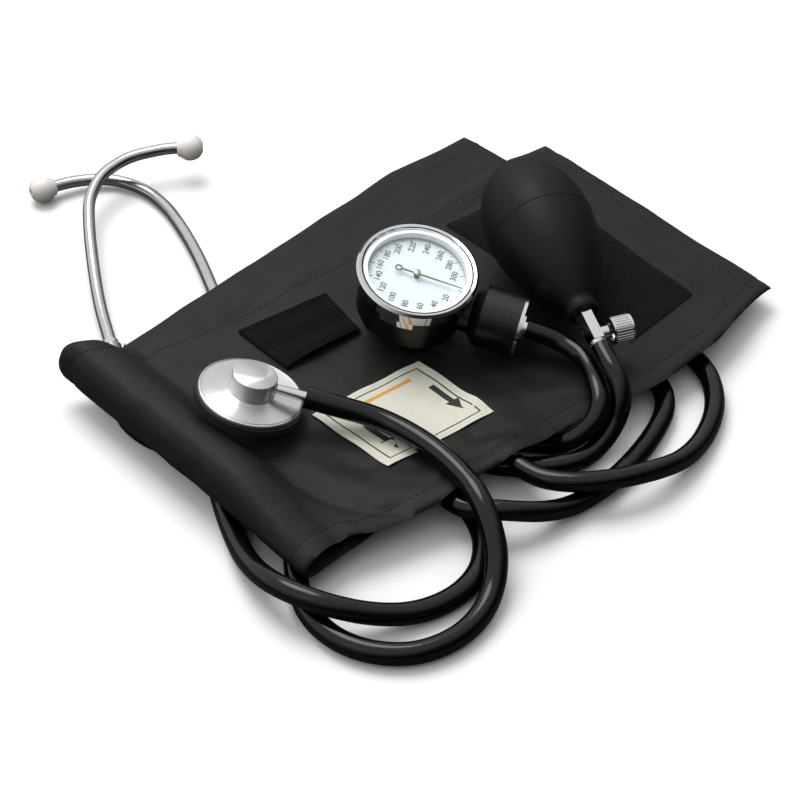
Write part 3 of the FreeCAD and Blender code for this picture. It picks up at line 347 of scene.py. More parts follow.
# Baked enamel with a fine wrinkle: black, with pin-point lights over its bumps.
WRINKLE_ENAMEL = Finish(
    "wrinkle_enamel", "#080809", 0.34, "#030303",
    (Relief(0.9, 0.1, 0.3), Relief(1.4, 0.04, weave=Weave.CELLS)), specular=0.42,
)
# Nickel-chrome plate on brass, polished: a near mirror.
CHROME_PLATE = Finish(
    "chrome_plate", "#cfd0d2", 0.07, "#a8a9ab", (Relief(2.5, 0.004, 0.12),),
    metallic=1.0, rough_spread=0.02,
)
# Chrome plate on drawn steel tube: a soft mirror drawn out lengthwise.
DRAWN_CHROME = Finish(
    "drawn_chrome", "#c2c3c5", 0.16, "#98999b", (Relief(3.0, 0.01, 0.25),),
    metallic=1.0, rough_spread=0.04,
)
# Aluminium, faced on a lathe: fine turning rings that fan the light into bright sectors.
TURNED_ALUMINIUM = Finish(
    "turned_aluminium", "#d8d9d6", 0.31, "#a9aaa8", (Relief(0.5, 0.008, 0.2, Weave.RIBS),),
    Guide.UV, metallic=1.0, anisotropic=0.85, rough_spread=0.03,
)
# Spring steel, ground and oiled: grey with a fine grain.
GROUND_STEEL = Finish(
    "ground_steel", "#9c9d9f", 0.3, "#77787a", (Relief(1.0, 0.01, 0.3),), metallic=1.0
)
# Clock brass, machined: warm with a fine grain.
CLOCK_BRASS = Finish(
    "clock_brass", "#b99a55", 0.28, "#8f7440", (Relief(0.8, 0.01, 0.3),), metallic=1.0
)
# Nickel-plated brass, turned: paler and greyer than the bare metal.
NICKEL_BRASS = Finish(
    "nickel_brass", "#b3ab92", 0.33, "#8f8975", (Relief(0.8, 0.01, 0.3),), metallic=1.0
)
# Lacquer, sprayed on the dial: a matt cool white.
DIAL_LACQUER = Finish("dial_lacquer", "#c9d3d5", 0.5, "#bcc6c9", (Relief(1.5, 0.004, 0.3),))
# Nylon, moulded: a satin white.
WHITE_NYLON = Finish("white_nylon", "#dfe3e5", 0.35, "#cfd3d6", (Relief(1.5, 0.004, 0.2),))
# Screen-printing ink: flat and nearly black.
DIAL_INK = Finish("dial_ink", "#25262a", 0.55, reliefs=(Relief(0.5, 0.002, 0.3),))
# Enamel, sprayed on the needle: a warm satin black.
NEEDLE_ENAMEL = Finish("needle_enamel", "#45413a", 0.4, reliefs=(Relief(0.6, 0.002, 0.3),))
# Acetal, moulded: black where it is plain; the knurl bars are a lighter blue-black copy of the same
# acetal, a painted highlight of the light catching the knurl.
KNURL_HIGHLIGHT_ACETAL = Finish("acetal_knurl_painted_highlight", "#3a3b45", 0.3, "#202128", (Relief(0.8, 0.02, 0.3),))
MOULDED_ACETAL = Finish("moulded_acetal", "#0c0c0d", 0.34, "#0c0c0d", (Relief(1.2, 0.02, 0.3),))
# Soft silicone, moulded: milky, with light bleeding into its edges.
MILKY_SILICONE = Finish(
    "milky_silicone", "#efece6", 0.34, "#dcd8d0", (Relief(3.0, 0.02, 0.2),),
    subsurface=0.3, coat=0.1,
)
# Glass-fibre epoxy sheet, pressed: cream with a faint cell pattern.
DIAPHRAGM_FILM = Finish(
    "diaphragm_film", "#d8d6cc", 0.25, "#c5c2b6", (Relief(1.0, 0.01, 0.2, Weave.CELLS),)
)


@dataclass(frozen=True)
class ClearAcrylic(Finish):
    """Cast acrylic, flame-polished: clear, with shadows let through to the dial."""

    def dress(self, tree: NodeTree, shader: Node) -> None:
        """Let light through, and shadow rays straight through.

        Args:
            tree: The material's tree.
            shader: Its shader.
        """
        shader.inputs["Transmission Weight"].default_value = 1.0
        shader.inputs["IOR"].default_value = 1.49
        shadow = add(tree, "ShaderNodeLightPath").outputs["Is Shadow Ray"]
        clear = add(tree, "ShaderNodeBsdfTransparent")
        mix = add(tree, "ShaderNodeMixShader", {0: shadow, 1: shader, 2: clear})
        tree.links.new(mix.outputs[0], tree.nodes["Material Output"].inputs["Surface"])


@dataclass(frozen=True)
class StudioPaper(Finish):
    """Seamless white paper that throws back less light than it shows, as under a black flag."""

    def dress(self, tree: NodeTree, shader: Node) -> None:
        """Show white to the camera and grey to every other ray.

        Args:
            tree: The material's tree.
            shader: Its shader.
        """
        rays = add(tree, "ShaderNodeLightPath").outputs["Is Camera Ray"]
        colours = {6: linear(self.dark), 7: linear(self.colour)}
        seen = add(tree, "ShaderNodeMix", {0: rays}, colours, data_type="RGBA")
        tree.links.new(seen.outputs[2], shader.inputs["Base Color"])


LENS_ACRYLIC = ClearAcrylic("lens_acrylic", "#ffffff", 0.02)
STUDIO_PAPER = StudioPaper("studio_paper", "#fafafa", 0.9, "#5c5c5c", specular=0.0)


# ---- meshes
def stand(name: str, data: bpy.types.ID) -> Object:
    """Put some data into the scene as an object.

    Args:
        name: The object's name.
        data: Its mesh, curve, text, lamp or camera.

    Returns:
        The new object.
    """
    made = bpy.data.objects.new(name, data)
    bpy.context.scene.collection.objects.link(made)
    return made


def piece(
    name: str,
    points: Iterable[Vector],
    faces: Iterable[Sequence[int]],
    finish: Finish,
    uvs: Sequence[Pair] | None = None,
    sharp: float = 40.0,
) -> Object:
    """Make a mesh piece whose place is in its mesh; a closed one's faces point outwards.

    Args:
        name: The piece's name.
        points: Its vertices, in metres in the row frame.
        faces: Its faces.
        finish: What covers it.
        uvs: One pattern coordinate for each vertex, in metres.
        sharp: Edges that turn by more degrees than this stay crisp.

    Returns:
        The new object.
    """
    mesh = bpy.data.meshes.new(name)
    mesh.from_pydata([tuple(p) for p in points], [], [tuple(f) for f in faces])
    if uvs:
        layer = mesh.uv_layers.new(name="surface")
        for loop in mesh.loops:
            layer.data[loop.index].uv = uvs[loop.vertex_index]
    mesh.validate()
    mesh.polygons.foreach_set("use_smooth", [True] * len(mesh.polygons))
    mesh.set_sharp_from_angle(angle=math.radians(sharp))
    mesh.materials.append(finish.make())
    mesh.calc_loop_triangles()
    volume = 0.0
    for triangle in mesh.loop_triangles:
        a, b, c = (mesh.vertices[i].co for i in triangle.vertices)
        volume += a.dot(b.cross(c))
    if volume < 0:
        mesh.flip_normals()
    LOG.info("%s: %d vertices", name, len(mesh.vertices))
    return stand(name, mesh)


def slab(wide: int, high: int) -> list[Sequence[int]]:
    """Close two layers of a grid of points into a slab, the top layer's points counted first.

    Args:
        wide: Points in each row of a layer.
        high: Rows in each layer.

    Returns:
        The slab's faces.
    """
    layer, last = wide * high, wide * (high - 1)
    faces: list[Sequence[int]] = []
    for row in range(0, last, wide):
        for i in range(row, row + wide - 1):
            quad = (i, i + 1, i + wide + 1, i + wide)
            faces += [quad, tuple(layer + k for k in reversed(quad))]
    rim = [*range(wide), *range(2 * wide - 1, layer, wide)]
    rim += [*range(layer - 2, last - 1, -1), *range(last - wide, 0, -wide)]
    for first, second in zip(rim, rim[1:] + rim[:1]):
        faces.append((first, layer + first, layer + second, second))
    return faces


def evaluated(source: Object, name: str) -> Object:
    """Turn an object's evaluated result into a plain mesh piece and drop the source.

    Args:
        source: The object with modifiers, or a text.
        name: The plain piece's name.

    Returns:
        The plain piece.
    """
    bpy.context.view_layer.update()
    graph = bpy.context.evaluated_depsgraph_get()
    mesh = bpy.data.meshes.new_from_object(source.evaluated_get(graph), depsgraph=graph)
    mesh.transform(source.matrix_world)
    mesh.name = name
    bpy.data.objects.remove(source)
    LOG.info("%s: %d vertices", name, len(mesh.vertices))
    return stand(name, mesh)


def lathe(
    name: str,
    outline: Sequence[Pair],
    seating: Matrix,
    finish: Finish,
    segments: int,
    axis: Axis,
    sharp: float = 40.0,
) -> Object:
    """Spin a closed (along, radius) outline about a local axis.

    Args:
        name: The piece's name.
        outline: The outline in millimetres; points of radius 0 become poles.
        seating: From local millimetres to the row frame.
        finish: What covers it.
        segments: Steps round the axis.
        axis: The local axis.
        sharp: Edges that turn by more degrees than this stay crisp.

    Returns:
        The new piece.
    """
    points: list[Vector] = []
    uvs: list[Pair] = []
    rings: list[list[int]] = []
    run = 0.0
    for index, (reach, radius) in enumerate(outline):
        run += math.dist(outline[index - 1], outline[index]) if index else 0.0
        count = segments if radius else 1
        rings.append([len(points) + step for step in range(count)])
        for step in range(count):
            angle = 2 * math.pi * step / segments
            out, up = radius * math.cos(angle), radius * math.sin(angle)
            local = (reach, out, up) if axis is Axis.X else (out, up, reach)
            points.append(seating @ Vector(local))
            uvs.append((angle * 0.01, run * MM))
    faces: list[tuple[int, ...]] = []
    for first, second in zip(rings, rings[1:] + rings[:1]):
        if len(first) == len(second) == 1:
            continue
        for step in range(segments):
            after = (step + 1) % segments
            corners = (
                first[step % len(first)], first[after % len(first)],
                second[after % len(second)], second[step % len(second)],
            )
            faces.append(tuple(dict.fromkeys(corners)))
    return piece(name, points, faces, finish, uvs, sharp)


# ---- repeated pieces
Given = bpy.types.NodeOutputs


def bars_round_a_ring(tree: NodeTree, given: Given) -> Node:
    """Set bars round a circle, each lying along the radius.

    Args:
        tree: The tree to build in.
        given: Its inputs: Count, Start, Step, Radius, Length, Width and Height.

    Returns:
        The node that gives the bars.
    """
    size = {0: given["Length"], 1: given["Width"], 2: given["Height"]}
    bar = add(tree, "GeometryNodeMeshCube", {"Size": add(tree, "ShaderNodeCombineXYZ", size)})
    reach = add(tree, "ShaderNodeCombineXYZ", {0: given["Radius"]})
    moved = add(tree, "GeometryNodeTransform", {"Geometry": bar, "Translation": reach})
    line = add(tree, "GeometryNodeMeshLine", {"Count": given["Count"]}, {"Offset": (0, 0, 0)})
    index = add(tree, "GeometryNodeInputIndex")
    turned = add(
        tree, "ShaderNodeMath", {0: index, 1: given["Step"], 2: given["Start"]},
        operation="MULTIPLY_ADD",
    )
    angle = add(tree, "ShaderNodeCombineXYZ", {2: turned})
    links = {"Points": line, "Instance": moved, "Rotation": angle}
    return add(tree, "GeometryNodeInstanceOnPoints", links)


def stitches_along_a_line(tree: NodeTree, given: Given) -> Node:
    """Lay stitches end to end along a line of edges.

    Args:
        tree: The tree to build in.
        given: Its inputs: Geometry, Pitch, Length and Thread.

    Returns:
        The node that gives the stitches.
    """
    curve = add(tree, "GeometryNodeMeshToCurve", {"Mesh": given["Geometry"]})
    links = {"Curve": curve, "Length": given["Pitch"]}
    spaced = add(tree, "GeometryNodeResampleCurve", links, mode="LENGTH")
    tangent = add(tree, "GeometryNodeInputTangent")
    turned = add(tree, "FunctionNodeAlignRotationToVector", {"Vector": tangent}, axis="X")
    bead = {"Segments": 6, "Rings": 5, "Radius": 1.0}
    half = add(tree, "ShaderNodeMath", {0: given["Length"]}, {1: 0.5}, operation="MULTIPLY")
    size = {0: half, 1: given["Thread"], 2: given["Thread"]}
    links = {
        "Points": spaced,
        "Instance": add(tree, "GeometryNodeMeshUVSphere", values=bead),
        "Rotation": turned,
        "Scale": add(tree, "ShaderNodeCombineXYZ", size),
    }
    return add(tree, "GeometryNodeInstanceOnPoints", links)


def bristles_on_a_grid(tree: NodeTree, given: Given) -> Node:
    """Set short leaning bristles on every point of a grid.

    Args:
        tree: The tree to build in.
        given: Its inputs: Geometry, Tall, Thick, Lean and Seed.

    Returns:
        The node that gives the bristles.
    """
    size = {"Radius Bottom": given["Thick"], "Depth": given["Tall"]}
    cone = add(tree, "GeometryNodeMeshCone", size, {"Vertices": 5})
    lean = given["Lean"]
    least = add(tree, "ShaderNodeMath", {0: lean}, {1: -1.0}, operation="MULTIPLY")
    low, high = (add(tree, "ShaderNodeCombineXYZ", {0: end, 1: end}) for end in (least, lean))
    links = {0: low, 1: high, "Seed": given["Seed"]}
    leaning = add(tree, "FunctionNodeRandomValue", links, data_type="FLOAT_VECTOR")
    links = {"Points": given["Geometry"], "Instance": cone, "Rotation": leaning}
    return add(tree, "GeometryNodeInstanceOnPoints", links)


def grown(
    name: str,
    plant: Callable[[NodeTree, Given], Node],
    base: Object,
    sizes: dict[str, float],
    finish: Finish,
) -> Object:
    """Grow small shapes on a base object by a geometry tree, and keep them as a plain mesh.

    Args:
        name: The new piece's name.
        plant: What builds the heart of the tree.
        base: The object that it works on; it is used up.
        sizes: Values by input name; whole numbers make whole-number inputs.
        finish: What covers the result.

    Returns:
        The plain piece.
    """
    tree = bpy.data.node_groups.get(plant.__name__)
    if not tree:
        tree = bpy.data.node_groups.new(plant.__name__, "GeometryNodeTree")
        kinds = {key: "Int" if isinstance(size, int) else "Float" for key, size in sizes.items()}
        tree.interface.new_socket("Geometry", in_out="OUTPUT", socket_type="NodeSocketGeometry")
        for socket, kind in {"Geometry": "Geometry", **kinds, "Material": "Material"}.items():
            tree.interface.new_socket(socket, in_out="INPUT", socket_type="NodeSocket" + kind)
        given = add(tree, "NodeGroupInput").outputs
        real = add(tree, "GeometryNodeRealizeInstances", {0: plant(tree, given)})
        links = {"Geometry": real, "Material": given["Material"]}
        add(tree, "NodeGroupOutput", {0: add(tree, "GeometryNodeSetMaterial", links)})
    modifier = base.modifiers.new("grown", "NODES")
    modifier.node_group = tree
    values = {**sizes, "Material": finish.make()}
    for socket in tree.interface.items_tree:
        if socket.in_out == "INPUT" and socket.name in values:
            modifier[socket.identifier] = values[socket.name]
    base.update_tag()
    return evaluated(base, name)


def base_mesh(
    points: Sequence[Vector] = (), edges: int = 0, seating: Matrix | None = None
) -> Object:
    """Make the bare mesh that a tree grows on.

    Args:
        points: Its points, in metres in the row frame.
        edges: How many edges chain the points, from the first one on.
        seating: Where an empty one is seated, as for a ring.

    Returns:
        The base object.
    """
    mesh = bpy.data.meshes.new("base")
    chain = [(i, (i + 1) % len(points)) for i in range(edges)]
    mesh.from_pydata([tuple(p) for p in points], chain, [])
    base = stand("base", mesh)
    if seating:
        base.matrix_world = seating @ Matrix.Scale(1 / MM, 4)
    return base


@dataclass(frozen=True)
class Stitch:
    """A running stitch: its pitch, its length and half its thread's thickness, in mm."""

    pitch: float
    length: float
    thread: float
    finish: Finish = SEWING_THREAD

    def sew(self, name: str, line: Sequence[Vector], closed: bool = False) -> None:
        """Sew along a line.

        Args:
            name: The piece's name.
            line: Its points, in metres in the row frame.
            closed: Whether the last point joins the first.
        """
        sizes = {"Pitch": self.pitch * MM, "Length": self.length * MM, "Thread": self.thread * MM}
        base = base_mesh(line, len(line) if closed else len(line) - 1)
        stitches = grown(name, stitches_along_a_line, base, sizes, self.finish)
        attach(stitches, KIT)


# ---- cuff
@dataclass
class Crease:
    """A soft ridge or valley pressed into the cloth along a line, in mm."""

    line: tuple[Pair, ...]
    height: float
    width: float

    def rise(self, x: float, y: float) -> float:
        """How far it lifts the cloth at a place.

        Args:
            x: Distance along the cuff.
            y: Distance from the front edge.

        Returns:
            The rise, negative in a valley.
        """
        nearest = math.inf
        for (x0, y0), (x1, y1) in zip(self.line, self.line[1:]):
            dx, dy = x1 - x0, y1 - y0
            share = min(1.0, max(0.0, ((x - x0) * dx + (y - y0) * dy) / (dx * dx + dy * dy)))
            nearest = min(nearest, math.hypot(x - x0 - share * dx, y - y0 - share * dy))
        return self.height * math.exp(-((nearest / self.width) ** 2))


@dataclass
class Cuff:
    """The folded cloth cuff with its patches. Sizes in mm, from the front corner at the fold."""

    width: float = 147.0
    lower_width: float = 159.0
    lower_turn: float = 4.8
    step: float = 2.0
    cloth: float = 1.6
    pocket: float = 3.6
    hem: float = 7.5
    level: float = 17.4
    # The outer face's section, from the lower run's free end: x, z and the corner's radius.
    run: tuple[Triple, ...] = (
        (263, 3, 0), (246, 5, 20), (212, 10, 20), (60, 10, 0),
        (25, 10, 0), (-7, 10, 8), (-7.5, 21, 6), (-4, 30.6, 8),
        (9, 30.6, 13), (22, 17.4, 14), (114, 17.4, 25), (128, 15.4, 25),
        (236, 15.4, 30), (267.5, 11, 0),
    )
    roll_foot: float = 10.0
    roll_inner: float = 24.0
    front_flatness: float = 0.55
    # The upper run's two long edges: x and y.
    front: tuple[Pair, ...] = (
        (-8, 1), (18, 3), (31, -2), (45, -6), (59, -8), (80, -6.5), (93, -8), (112, -8.5),
        (130, -7), (142, -8.5), (152, -11), (160, -13.5), (188, -15), (213, -13), (268, -1.5),
    )
    back: tuple[Pair, ...] = ((-8, 164), (10, 157), (30, 153), (60, 147), (90, 144.5), (268, 143))
    ports: tuple[Pair, ...] = ((66, 3.4), (101, 3.4))  # x, and how high the port lifts the edge
    # What rests on the upper run and holds it flat: x, y and radius.
    loads: tuple[Triple, ...] = ((124, 74, 30), (158, 60, 26), (182, 62, 30), (34, 84, 20))
    creases: tuple[Crease, ...] = (
        Crease(
            (
                (26, 150), (24, 132), (24, 110), (23, 84), (22, 60), (21, 40), (24, 24), (32, 11),
                (44, -2),
            ),
            -1.1, 2.0,
        ),
        Crease(((32, 46), (36, 30), (44, 14), (54, 2)), 1.1, 6.0),
        Crease(((54, 22), (64, 12), (76, 4), (88, -4)), 0.9, 5.0),
        Crease(((46, 34), (58, 20), (68, 12)), -0.8, 4.0),
        Crease(((112, 26), (124, 18), (138, 10), (154, 2)), 1.2, 5.0),
        Crease(((126, 34), (140, 24), (158, 16), (178, 10)), -0.9, 5.0),
        Crease(((96, 12), (108, 4), (120, -4)), -0.8, 4.0),
        Crease(((46, 156), (64, 150), (84, 146), (104, 138)), 1.0, 5.0),
        Crease(((70, 138), (88, 141), (108, 143)), -0.7, 3.0),
        Crease(((150, 138), (180, 134), (214, 136), (244, 140)), 0.8, 5.0),
        Crease(((196, 128), (222, 128), (250, 130)), -0.7, 4.0),
        Crease(((236, 20), (244, 60), (240, 100)), 0.7, 6.0),
        Crease(((150, 120), (160, 132), (172, 140)), 0.7, 5.0),
    )
    upper_length: float = 258.0  # of the cloth, up to the roll
    pressed_flat: float = 0.85  # how much of the relief a load takes away
    relief_limit: float = 1.3  # the most that the cloth stands out or in
    edge_wander: float = 0.7  # how far the long edges stray
    edge_round: float = 1.6  # how far in the cloth's edge is rounded
    hem_groove: Pair = (0.45, 1.1)  # depth and width
    rows: list[tuple[Vector, Vector, float]] = field(default_factory=list)
    upper_rows: list[tuple[Vector, Vector, float]] = field(default_factory=list)
    total: float = 0.0
    half_run: float = 0.0

    def trace(self) -> None:
        """Note each row's point, inward side and distance along the cloth, and where it folds."""
        corners = [Vector((x, 0, z)) for x, z, _ in self.run]
        line: list[Vector] = [corners[0]]
        radii = (radius for _, _, radius in self.run[1:])
        for before, corner, after, radius in zip(corners, corners[1:], corners[2:], radii):
            back, ahead = (before - corner).normalized(), (after - corner).normalized()
            half = back.angle(ahead) / 2
            if radius <= 0 or half > math.pi / 2 - 0.01:
                line.append(corner)
                continue
            reach = radius / math.tan(half)
            start, end = corner + back * reach, corner + ahead * reach
            for t in (step / 8 for step in range(9)):
                low, mid, high = (1 - t) ** 2, 2 * math.sin(half) * t * (1 - t), t * t
                line.append((start * low + corner * mid + end * high) / (low + mid + high))
        line.append(corners[-1])
        lengths = [0.0]
        for first, second in zip(line, line[1:]):
            lengths.append(lengths[-1] + (second - first).length)
        self.total = lengths[-1]
        count = int(self.total / self.step)
        cursor = 0
        places: list[Vector] = []
        goals = [self.total * index / count for index in range(count + 1)]
        for goal in goals:
            while cursor < len(lengths) - 2 and lengths[cursor + 1] < goal:
                cursor += 1
            span = max(1e-6, lengths[cursor + 1] - lengths[cursor])
            places.append(line[cursor].lerp(line[cursor + 1], (goal - lengths[cursor]) / span))
        for index, goal in enumerate(goals):
            way = (places[min(count, index + 1)] - places[max(0, index - 1)]).normalized()
            self.rows.append((places[index], Vector((way.z, 0, -way.x)), goal))
        risen = next(run for place, _, run in self.rows if place.z > 10.5 and run > 200)
        self.half_run = risen - 34
        self.upper_rows = [row for row in self.rows if row[2] > self.total - self.upper_length]

    def rise(self, x: float, y: float, run: float, upper: float) -> float:
        """How far the cloth stands out at a place, held down where other pieces rest on it.

        Args:
            x: Distance along the cuff.
            y: Distance from the front edge.
            run: Distance along the cloth.
            upper: 1 on the upper run and 0 on the lower one.

        Returns:
            The rise, negative in a valley.
        """
        free = 1.0
        for cx, cy, radius in self.loads:
            near = 1 - ease(radius * 0.6, radius * 1.2, math.hypot(x - cx, y - cy))
            free *= 1 - self.pressed_flat * near
        if not upper:
            return 0.45 * free * noise.fractal(Vector((run / 45, y / 40, 7.7)), 1.0, 2.1, 3)
        pressed = sum(crease.rise(x, y) for crease in self.creases)
        broad = noise.fractal(Vector((run / 38, y / 30, 3.1)), 1.0, 2.1, 3)
        fine = noise.noise(Vector((run / 13 + y / 40, y / 17, 9.4)))
        most = self.relief_limit
        return free * max(-most, min(most, pressed + 0.55 * broad + 0.3 * fine))

    def sink(self, x: float, y: float, z: float) -> float:
        """How far the roll sags at a place: it lies flatter towards the front edge.

        Args:
            x: Distance along the cuff.
            y: Distance from the front edge.
            z: Height above the table.

        Returns:
            The sag.
        """
        in_roll = 1 - ease(self.roll_inner - 8, self.roll_inner + 16, x)
        slack = self.front_flatness * (1 - ease(-6, 62, y))
        floor = max(self.roll_foot, self.level * ease(0, self.roll_inner, x))
        return in_roll * slack * max(0.0, z - floor)

    def tent(self, x: float, y: float) -> float:
        """How far the upper run's front edge is lifted over the two bladder ports."""
        lift = sum(high * math.exp(-(((x - at) / 11) ** 2)) for at, high in self.ports)
        return lift * (1 - ease(-10, 16, y))

    def section(self, place: Vector, inward: Vector, run: float) -> list[tuple[Vector, Pair]]:
        """One closed ring of the cuff, round both cloths from front to back.

        Args:
            place: The row's point on the outer face.
            inward: The side that the inner cloth lies on.
            run: Distance along the cloth.

        Returns:
            Points with pattern coordinates.
        """
        slipped = 1 - ease(self.half_run - 4, self.half_run + 44, run)
        turn = Matrix.Rotation(math.radians(self.lower_turn * slipped), 3, "Z")
        upper = 1.0 if run > self.half_run else 0.0
        front = along(self.front, place.x) * (1 - slipped)
        back = along(self.back, place.x) * (1 - slipped) + self.lower_width * slipped
        front += self.edge_wander * noise.noise(Vector((run / 22, 1.7, upper)))
        back += self.edge_wander * noise.noise(Vector((run / 22, 8.3, upper)))
        left = self.total - run
        puffed = ease(self.half_run - 45, self.half_run - 30, run) * ease(92, 108, left)
        end = min(1.0, min(run, left) / 3 + 0.35)
        count = int(self.width / self.step)
        deep, broad = self.hem_groove
        faces: tuple[list[tuple[Vector, Pair]], ...] = ([], [])
        for index in range(count + 1):
            share = index / count
            y = front + (back - front) * share
            edge = min(share, 1 - share) * self.width
            rim = min(1.0, min(1.0, edge / self.edge_round) ** 0.5 * 0.9 + 0.1)
            mid = (self.cloth + (self.pocket - self.cloth) * puffed * ease(6, 20, edge)) / 2
            groove = deep * math.exp(-(((edge - self.hem) / broad) ** 2))
            lift = self.rise(place.x, y, run, upper) - groove
            half = mid * rim * end
            centre = place + inward * mid
            sides = (centre - inward * (half + lift), centre + inward * (half - lift))
            for point, face, offset in zip(sides, faces, (0.0, 0.5)):
                moved = turn @ Vector((point.x, y, point.z))
                moved.z -= self.sink(point.x, y, point.z)
                moved.z += upper * self.tent(point.x, y)
                moved.z = max(moved.z, 0.02)
                face.append((spot(*moved), (run * MM + offset, y * MM)))
        return faces[0] + faces[1][::-1]

    def surface(self, x: float, y: float) -> float:
        """Height of the upper run's face over a place on the table."""
        place, _, run = min(self.upper_rows, key=lambda row: abs(row[0].x - x))
        return place.z + self.rise(x, y, run, 1.0)

    def build(self) -> None:
        """Build the cloth, its seams and its patches."""
        self.trace()
        rings = [self.section(*row) for row in self.rows]
        ring = len(rings[0])
        half, last = ring // 2, (len(rings) - 1) * ring
        faces: list[Sequence[int]] = []
        for base in range(0, last, ring):
            for index in range(ring):
                follow = base + (index + 1) % ring
                faces.append((base + index, follow, follow + ring, base + ring + index))
        for base, order in ((0, 1), (last, -1)):
            for index in range(half - 1):
                far = base + ring - 1 - index
                faces.append((base + index, far, far - 1, base + index + 1)[::order])
        points = [point for row in rings for point, _ in row]
        uvs = [uv for row in rings for _, uv in row]
        cover = piece("cuff_cover", points, faces, COATED_NYLON, uvs, sharp=70)
        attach(cover, KIT)
        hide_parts("cuff_outer_cloth", "cuff_inner_cloth", "cuff_bladder")
        thread = Stitch(3.2, 2.4, 0.28)
        column = round(self.hem / self.step)
        for side, index in (("front", column), ("back", half - 1 - column)):
            thread.sew(f"{side}_hem_stitches", [row[index][0] for row in rings[6:-6]])
        thread.sew("end_hem_stitches", [point for point, _ in rings[-5][3 : half - 3]])
        Label(self).build()
        Strap(self).build()
        LoopPanel(self).build()


@dataclass
class Patch:
    """A four-sided patch draped on the cuff's upper run. Sizes in mm."""

    cuff: Cuff
    corners: tuple[Pair, ...]  # in plan, in order round it
    thickness: float
    step: float  # the mesh's spacing
    lift: float  # its gap to the cloth

    def wave(self, u: float, v: float) -> float:
        """Extra height at shares (u, v) across the patch."""
        raise NotImplementedError

    def at(self, u: float, v: float, above: float) -> Vector:
        """Find a place at shares (u, v) across the patch.

        Args:
            u: Share along its first side.
            v: Share along its second side.
            above: Height over the cuff's cloth, without the patch's own wave.

        Returns:
            The place in the row frame.
        """
        a, b, c, d = (Vector((*corner, 0)) for corner in self.corners)
        flat = a.lerp(b, u).lerp(d.lerp(c, u), v)
        return spot(flat.x, flat.y, self.cuff.surface(flat.x, flat.y) + above + self.wave(u, v))

    def drape(self, name: str, finish: Finish) -> Object:
        """Drape the patch's own mesh.

        Args:
            name: The piece's name.
            finish: What covers it.

        Returns:
            The patch.
        """
        a, b, _, d = (Vector((*corner, 0)) for corner in self.corners)
        long, broad = (b - a).length, (d - a).length
        columns, lines = int(long / self.step), int(broad / self.step)
        shares = [(i / columns, j / lines) for j in range(lines + 1) for i in range(columns + 1)]
        levels = (self.lift + self.thickness, self.lift)
        points = [self.at(u, v, level) for level in levels for u, v in shares]
        uvs = [(u * long * MM, v * broad * MM) for u, v in shares] * 2
        made = piece(name, points, slab(columns + 1, lines + 1), finish, uvs, sharp=60)
        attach(made, KIT)
        return made


@dataclass
class Label(Patch):
    """The woven label that marks the artery, with its border, its stripe and its two arrows."""

    corners: tuple[Pair, ...] = ((54, 67), (110.5, 62), (112, 17), (56.5, 22))
    thickness: float = 0.35
    step: float = 1.0
    lift: float = 0.15

    def wave(self, u: float, v: float) -> float:
        """Lift of the label's loose edges between its stitches."""
        loose = 1 - ease(0, 0.16, min(u, 1 - u, v, 1 - v))
        return 0.5 * loose * (0.5 + 0.5 * math.sin(u * 17 + v * 13)) + 0.15

    def mark(
        self, name: str, places: Sequence[Pair], faces: Sequence[Sequence[int]], finish: Finish
    ) -> None:
        """Weave a thin mark into the label.

        Args:
            name: The piece's name.
            places: The places of its points, in shares of the label.
            faces: Its faces, over the points at its top and then those at its foot.
            finish: What covers it.
        """
        levels = [self.lift + self.thickness + rise for rise in (PRINT_RISE, PRINT_SINK)]
        points = [self.at(u, v, level) for level in levels for u, v in places]
        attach(piece(name, points, faces, finish), KIT)

    def bar(self, name: str, start: Pair, end: Pair, wide: float, finish: Finish) -> None:
        """Weave in a bar that follows the label.

        Args:
            name: The piece's name.
            start: One end, in shares of the label.
            end: The other end.
            wide: Its width, as a share.
            finish: What covers it.
        """
        way = Vector((end[0] - start[0], end[1] - start[1])).normalized()
        side = Vector((-way.y, way.x)) * wide / 2
        steps = [Vector(start).lerp(Vector(end), k / 14) for k in range(15)]
        places = [tuple(step + edge) for edge in (side, -side) for step in steps]
        self.mark(name, places, slab(len(steps), 2), finish)

    def build(self) -> None:
        """Build the label with its marks and the stitches round it."""
        cloth = self.drape("artery_label_cloth", LABEL_SATIN)
        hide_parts("artery_label")

        def sides(near: float, far: float) -> Iterable[tuple[Pair, Pair]]:
            """The four sides of a square that reaches from one share to the other."""
            square = [(near, near), (far, near), (far, far), (near, far)]
            return zip(square, square[1:] + square[:1])

        for index, (start, end) in enumerate(sides(0.075, 1 - 0.075)):
            self.bar(f"label_border_{index}", start, end, 0.012, LABEL_BLACK)
        self.bar("label_stripe", (0.24, 0.17), (0.8, 0.17), 0.04, LABEL_ORANGE)
        for index, (u, v) in enumerate(((0.2, 0.42), (0.86, 0.36))):
            self.bar(f"arrow_shaft_{index}", (u, v), (u, v + 0.3), 0.05, LABEL_BLACK)
            tip = ((u - 0.06, v + 0.28), (u, v + 0.44), (u + 0.06, v + 0.28))
            self.mark(f"arrow_head_{index}", tip, ARROW_FACES, LABEL_BLACK)
        loop = [
            self.at(u0 + (u1 - u0) * k / 16, v0 + (v1 - v0) * k / 16, self.lift + self.thickness)
            for (u0, v0), (u1, v1) in sides(0.035, 1 - 0.035)
            for k in range(16)
        ]
        Stitch(2.4, 1.8, 0.16, LABEL_SATIN).sew("label_stitches", loop, closed=True)


